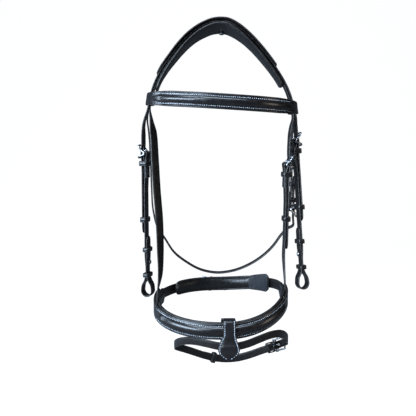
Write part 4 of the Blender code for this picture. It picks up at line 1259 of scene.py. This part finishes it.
# Runs of the chin straps round the noseband ring: angle, outward, drop
CHIN_NEAR = [(91.5, NOSE_SEAT, 0), (98, NOSE_SEAT, 0), (107, NOSE_SEAT, 0.1), (118, -4.4, 0.4),
             (130, -2.6, 1.0), (141, -0.2, 1.8), (152, 2.9, 2.4), (162, 5.6, 2.7)]
CHIN_OFF = [(-98, NOSE_SEAT, 0), (-106, NOSE_SEAT, 0.1), (-116, NOSE_SEAT, 0.4),
            (-127, -4.2, 1.1), (-138, -1.6, 1.9), (-148, 2.0, 2.5)]
CHIN_TAIL = [(163, 9.8, 2.7), (155, 8.0, 2.5), (149, 6.6, 2.3), (143.2, 5.1, 1.9)]
PATCH_FROM = 0.722       # fraction along the chin pad where the patch leather starts


def ring_run(table):
    return [ring(theta, outward)[0] - (0, 0, drop) for theta, outward, drop in table]


def make_chin_straps():
    points = chape(CHIN, 32.0, [(CHAPE_OUT, 33)]) + ring_run(CHIN_NEAR)[::-1]
    ob = strap("chin_strap_near_leather", Strip(points, UP, CHIN_W, step=1.8))
    cut(ob, bar_slot(CHIN))
    hook_up(ob, "noseband", "chin_strap_near")
    points = ring_run(CHIN_OFF) + billet(CHIN, [(5.0, -23), (5.2, -14)], (34,))
    ob = strap("chin_strap_off_leather",
               Strip(points + ring_run(CHIN_TAIL), UP, CHIN_W, tip1=10))
    cut(ob, tongue_slot(CHIN), holes(CHIN, [21.8]))
    hook_up(ob, "noseband", "chin_strap_off")
    buckle("chin", CHIN, CHIN_W - 1.0, "noseband")
    keeper("chin_fixed_keeper", CHIN, FIXED_OUT, (11.5, 19.5), CHIN_W + 2.0, "noseband")
    keeper("chin_sliding_keeper", CHIN, (-3.7, 7.9), (24.4, 30.3), CHIN_W + 2.6, "chin_keeper")


def chin_line(k):
    """Inner pad behind the chin, from the off side (k=0) to the near side (k=1)."""
    return ring(-135 - 103 * k, -7.8 + 5.0 * math.sin(math.pi * k))


def chin_section(k, start, left):
    """Section at fraction k, with the distances from its start and to its end."""
    patch = min(1.0, max(0.0, (k - 0.715) / 0.02))
    height = 23.0 + 10.0 * max(0.0, (k - 0.72) / 0.28) ** 0.6 + 1.6 * (1 - patch) - 0.4 * patch
    if left < 6.0:
        height -= (6.0 - left) * 1.35
    if start < 9.0:
        height *= 0.60 + 0.40 * math.sqrt(1 - (1 - start / 9.0) ** 2)
    rim = 1.9
    u = height / 2 - rim
    soft, flat = [], []                          # soft padding, and the flat patch
    for j in range(8):                           # rim
        a = math.radians(112 - 224 * j / 7)
        x, y = u + rim * math.cos(a), rim * math.sin(a)
        soft.append((x, -2.3 + y, 0.3))
        flat.append((x, -2.6 + y, 0.5))
    # sewn channel and belly (the face against the chin)
    soft += [(u - 1.4, -3.3, 0.0), (u - 2.5, -4.0, 0.0), (u * 0.55, -5.55, 0.0),
             (0.0, -6.15, 0.0)]
    flat += [(u - 0.8, -4.55, 0.0), (u - 2.4, -4.75, 0.0), (u * 0.55, -5.0, 0.0),
             (0.0, -5.1, 0.0)]
    outer = [(0.0, -0.35, 0.0), (u * 0.6, -0.35, 0.0), (u - 0.8, -0.5, 0.0)]
    return mirrored(outer + [tuple(a[m] * (1 - patch) + b[m] * patch for m in range(3))
                             for a, b in zip(soft, flat)])


def make_chin_pad():
    fractions = np.linspace(0, 1, 72)
    line, out = (np.array(rows) for rows in zip(*[chin_line(k) for k in fractions]))
    pad = Rail(line, np.tile(UP, (len(line), 1)), out)

    def section(i):
        return chin_section(fractions[i], pad.run[i], pad.length - pad.run[i])

    ob = sweep("chin_pad_soft", pad, section, LINING)
    ob.data.materials.append(PATCH)
    around, patch_ring = len(section(0)), int(np.searchsorted(fractions, PATCH_FROM))
    for face in ob.data.polygons:
        if min(face.vertices) // around >= patch_ring + 1:
            face.material_index = 1
    hook_up(ob, "chin_pad", "chin_pad")
    rows = [pad.row(q, -3.55, 6, pad.run[patch_ring] - 2, 3.2, face=-1) for q in (-9.9, 9.9)]
    for k in (0.745, 0.80):                      # across the patch
        centre, normal = chin_line(k)
        offsets = np.arange(-8.0, 8.1, 3.0)
        rows.append((np.array([centre + UP * q - normal * 5.02 for q in offsets]),
                     np.tile(-normal, (len(offsets), 1))))
    for q in (-9.4, 9.4):                        # along its edges
        pairs = [chin_line(k) for k in np.linspace(0.745, 0.80, 5)]
        rows.append((np.array([centre + UP * q - normal * 4.85 for centre, normal in pairs]),
                     np.array([-normal for _, normal in pairs])))
    stitches("chin_pad_stitching", rows, "chin_pad")


# --------------------------------------------------------------- flash strap


def flash(theta, outward=0.0):
    """Point on the flash strap's oval at theta degrees from the front."""
    a = math.radians(theta)
    n = unit((math.sin(a) / FLASH_A, -math.cos(a) / FLASH_B, 0))
    turned = (theta + 180) % 360 - 180
    z = (FLASH_C[2] + FLASH_DROP * math.cos(a) - 7.0 * math.cos(2 * a) + 3.4 * math.sin(a)
         + 2.0 * math.sin(2 * a) - 2.2 * math.cos(4 * a)
         - FLASH_DIP * math.exp(-(turned / 31.0) ** 2))
    return np.array((FLASH_C[0] + FLASH_A * math.sin(a),
                     FLASH_C[1] - FLASH_B * math.cos(a), z)) + n * outward


def flash_place(theta):
    return Place(flash(theta), flash(theta + 1) - flash(theta - 1), UP)


FLASH = flash_place(120.0)
FLASH_KEEPER = flash_place(195)

# Angle and outward offset, from the buckle round the front and back to the buckle
FLASH_RUN = [(142, 2.2), (150, 0.9), (160, 0.2)]
FLASH_RUN += [(theta, 0) for theta in (
    170, 181, 192, 203, 214, 225, 236, 248, 260, 272, 284, 296, 308, 320, 333, 346, 360, 373,
    386, 398, 410, 422)]
FLASH_RUN += [(434, 0.6), (444, 2.0), (453, 3.8)]
FLASH_TAIL = [(142, 6.1), (150, 4.6), (160, 3.9), (170, 3.5), (181, 3.3), (190, 3.3),
              (197, 3.3), (203, 3.3), (210, 3.3)]


def make_flash_strap():
    start = chape(FLASH, 19.0, [(CHAPE_OUT, 20)])
    end = billet(FLASH, [(5.6, -20), (5.5, -13)])
    points = start + [flash(*q) for q in FLASH_RUN] + end + [flash(*q) for q in FLASH_TAIL]
    across = ([FLASH.across] * len(start) + [UP] * len(FLASH_RUN)
              + [FLASH.across] * len(end) + [UP] * len(FLASH_TAIL))
    ob = strap("flash_strap_leather", Strip(points, across, FLASH_W, tip1=9, step=2.0),
               half=FLASH_HALF_T, crease=1.4, groove=0.16, crown=0.1)
    cut(ob, bar_slot(FLASH, (-6, 4.4)), tongue_slot(FLASH, (4.9, 12)), holes(FLASH, [22.5]))
    hook_up(ob, "flash", "flash_strap")
    buckle("flash", FLASH, FLASH_W, "flash")
    keeper("flash_fixed_keeper", FLASH, FIXED_OUT, (11.5, 17.5), FLASH_W + 2.0, "flash")
    keeper("flash_sliding_keeper", FLASH_KEEPER, (-2.3, 5.6), (-3.5, 3.5), FLASH_W + 2.0,
           "flash_keeper")


# --------------------------------------------------------------- throatlatch

THROAT = Place((117.0, 30.0, -286.0), (0.0, -0.07, 1.0), (0, -1, -0.07))

THROAT_OFF = [(-117.4, 12.4, -139.0), (-116.0, 20.0, -158.0), (-114.8, 25.4, -178.0),
              (-114.6, 26.1, -186.8)]
# down the off side, under the throat and up towards the near buckle
THROAT_JAW = [(-113.6, 27.6, -215), (-112.6, 29, -250), (-110.5, 32, -288), (-103.5, 38, -318),
              (-91.5, 45, -338), (-77, 53, -362), (-56, 62, -381), (-30, 69, -396.5),
              (-2, 72, -402.5), (27, 70, -398.5), (52, 64, -387.5), (74, 57.5, -372),
              (92, 51, -353), (104, 45, -334), (113, 40.0, -322)]
# up the near side from the buckle to the headpiece
THROAT_NEAR = [(117.8, 26.2, -200.0), (117.4, 24.0, -176.0), (117.4, 20.5, -161.0),
               (117.6, 16.5, -149.5), (117.6, 12.4, -138.5)]


def jaw_across(point):
    return unit((0, 1.0, 0.05 * min(1.0, max(0.0, (-point[2] - 290) / 70.0))))


def make_throatlatch():
    back = -THROAT.across
    over, over_across = arch_line(8, 8, LAY_HEAD, Y_THROAT)
    half = len(over) // 2
    middle = (over[half - 1] + over[half]) / 2

    # from the poll down the off side and under the throat to the near cheek
    joint = 13
    jaw = THROAT_JAW[:joint + 1]
    points = [middle] + over[:half][::-1] + THROAT_OFF + jaw
    across = [over_across[half]] + over_across[:half][::-1]
    across += [REAR] * len(THROAT_OFF) + [jaw_across(q) for q in jaw]
    ob = strap("throat_strap_off_leather", Strip(points, [-w for w in across], THROAT_W))
    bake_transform(ob)
    hook_up(ob, None, "throatlatch")

    # and on up through the buckle on the near side
    jaw = THROAT_JAW[joint:]
    end = billet(THROAT, [(6.4, -26.5), (6.1, -21.4), (5.4, -13)], (44, 54.5))
    across = [jaw_across(q) for q in jaw] + [back] * len(end)
    ob = strap("throat_billet_leather", Strip(jaw + end, across, THROAT_W, tip1=9, step=1.8))
    cut(ob, tongue_slot(THROAT, (3.9, 12)), holes(THROAT, [28.0, 48.0]))
    tuple(THROAT(6, -29) * MM)
    tuple(THROAT(6, -16) * MM)
    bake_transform(ob)
    hook_up(ob, None, "throat_billet")

    # near half of the short strap with its chape
    fold = chape(THROAT, 28.0, [(CHAPE_OUT, 36), (CHAPE_OUT, 60)])
    points = [middle + (0.3, 0, 0)] + over[half:] + THROAT_NEAR[::-1] + fold[::-1]
    across = [over_across[half]] + over_across[half:]
    across += [REAR] * len(THROAT_NEAR) + [back] * len(fold)
    ob = strap("throat_strap_near_leather", Strip(points, across, THROAT_W, step=1.8))
    cut(ob, bar_slot(THROAT))
    hook_up(ob, "headpiece", "throat_headstrap")
    buckle("throat", THROAT, THROAT_W, "headpiece")
    keeper("throat_fixed_keeper", THROAT, FIXED_OUT, (11.5, 17.5), THROAT_W + 2.0, "headpiece")
    keeper("throat_sliding_keeper", THROAT, SLIDING_OUT, (38, 44), THROAT_W + 2.0,
           "throat_keeper")
    rows = [chape_row(THROAT, 1, q, 19.5, 28.0, 2.9) for q in (-3.9, 3.9)]
    stitches("throat_strap_stitching", rows, "headpiece")


make_crown()
make_crown_stud()
# side, middle of the centre bar, tilts, and the extra length (the near one is a hole longer)
for tag, side, bar, tilts, extra in (
        ("off", -1, (-118.4, -3.0, -194.0), dict(lean=0.0, fore=0.0, twist=18.0), 0.0),
        ("near", 1, (115.5, -3.0, -175.0), dict(lean=3.6, fore=5.0, twist=12.0), 6.0)):
    cheek = cheek_place(side, bar, **tilts)
    make_cheek_billet(tag, side, cheek)
    make_cheekpiece(tag, cheek, extra)
make_browband()
make_headstrap()
make_hanger()
make_noseband()
make_flash_loop()
make_chin_straps()
make_chin_pad()
make_flash_strap()
make_throatlatch()

# ------------------------------------------------- stage and light, in metres


def floor_material():
    """Pale grey, lit up for the camera only."""
    material, tree, shader = new_material("pale_floor")
    clouds = noise(tree, Scale=3.0, Detail=2.0)
    camera_ray = add_node(tree, "ShaderNodeLightPath").outputs["Is Camera Ray"]
    glow = 0.93
    set_inputs(tree, shader, {
        "Base Color": ramp(tree, clouds, span=(0.3, 0.7),
                           values=((0.16, 0.16, 0.165), (0.18, 0.18, 0.182))),
        "Roughness": 0.9,
        "Specular IOR Level": 0.1,
        "Emission Color": (1, 1, 1, 1),
        "Emission Strength": math_node(tree, "MULTIPLY", camera_ray, glow)})
    return material


def stage_floor():
    """Floor sweeping up into a backdrop."""
    bend, floor_z, back_y, half_width = 1.4, -0.60, 2.6, 5.0
    profile = [(-4.0, floor_z), (back_y - bend, floor_z)]
    for k in range(1, 13):
        a = math.pi / 2 * k / 12
        profile.append((back_y - bend + bend * math.sin(a), floor_z + bend - bend * math.cos(a)))
    profile.append((back_y, 5.0))
    verts = [(x, y, z) for y, z in profile for x in (-half_width, half_width)]
    faces = [(2 * i, 2 * i + 1, 2 * i + 3, 2 * i + 2) for i in range(len(profile) - 1)]
    mesh = bpy.data.meshes.new("studio_floor")
    mesh.from_pydata(verts, [], faces)
    mesh.shade_smooth()
    mesh.materials.append(floor_material())
    link_object("studio_floor", mesh)


def softbox(name, place, target, size, power, colour):
    light = bpy.data.lights.new(name, "AREA")
    light.shape = "RECTANGLE"
    light.size, light.size_y = size
    light.energy = power
    light.color = colour
    ob = link_object(name, light)
    ob.location = place
    aim = Vector(target) - Vector(place)
    ob.rotation_euler = aim.to_track_quat("-Z", "Y").to_euler()


stage_floor()
COOL = (0.66, 0.82, 1.0)
softbox("key_softbox", place=(-1.12, -0.92, 0.02), target=(0, 0, -0.28), size=(1.25, 0.52),
        power=50, colour=COOL)
softbox("fill_softbox", place=(1.5, -0.9, 0.1), target=(0, 0, -0.28), size=(0.5, 1.0),
        power=5.5, colour=(1.0, 0.86, 0.76))
softbox("top_softbox", place=(-0.15, -0.45, 1.25), target=(0, 0, -0.2), size=(1.1, 0.30),
        power=24, colour=COOL)
softbox("high_softbox", place=(-0.55, -1.35, 0.75), target=(0, 0, -0.25), size=(0.40, 0.40),
        power=11, colour=(0.70, 0.84, 1.0))
softbox("rim_left", place=(-1.3, 0.30, 0.0), target=(0, 0, -0.25), size=(0.30, 1.2),
        power=10, colour=COOL)


def make_world():
    """White to the camera, nearly dark as a light."""
    seen, ambient = 1.0, 0.02
    world = bpy.data.worlds.new("studio")
    bpy.context.scene.world = world
    world.use_nodes = True
    tree = world.node_tree
    camera_ray = add_node(tree, "ShaderNodeLightPath").outputs["Is Camera Ray"]
    set_inputs(tree, tree.nodes["Background"], {
        "Color": (1.0, 1.0, 1.0, 1),
        "Strength": math_node(tree, "MULTIPLY_ADD", camera_ray, seen, ambient)})


def make_camera():
    camera = bpy.data.cameras.new("camera")
    camera.sensor_width = 36.0
    camera.lens = 54.09
    camera.clip_end = 30.0
    ob = link_object("camera", camera)
    ob.location = (-0.060, -1.000, -0.1725)
    ob.rotation_euler = (math.radians(90 - 6.209), 0.0, math.radians(-2.245))
    bpy.context.scene.camera = ob


make_world()
bpy.context.scene.view_settings.view_transform = "Standard"
make_camera()
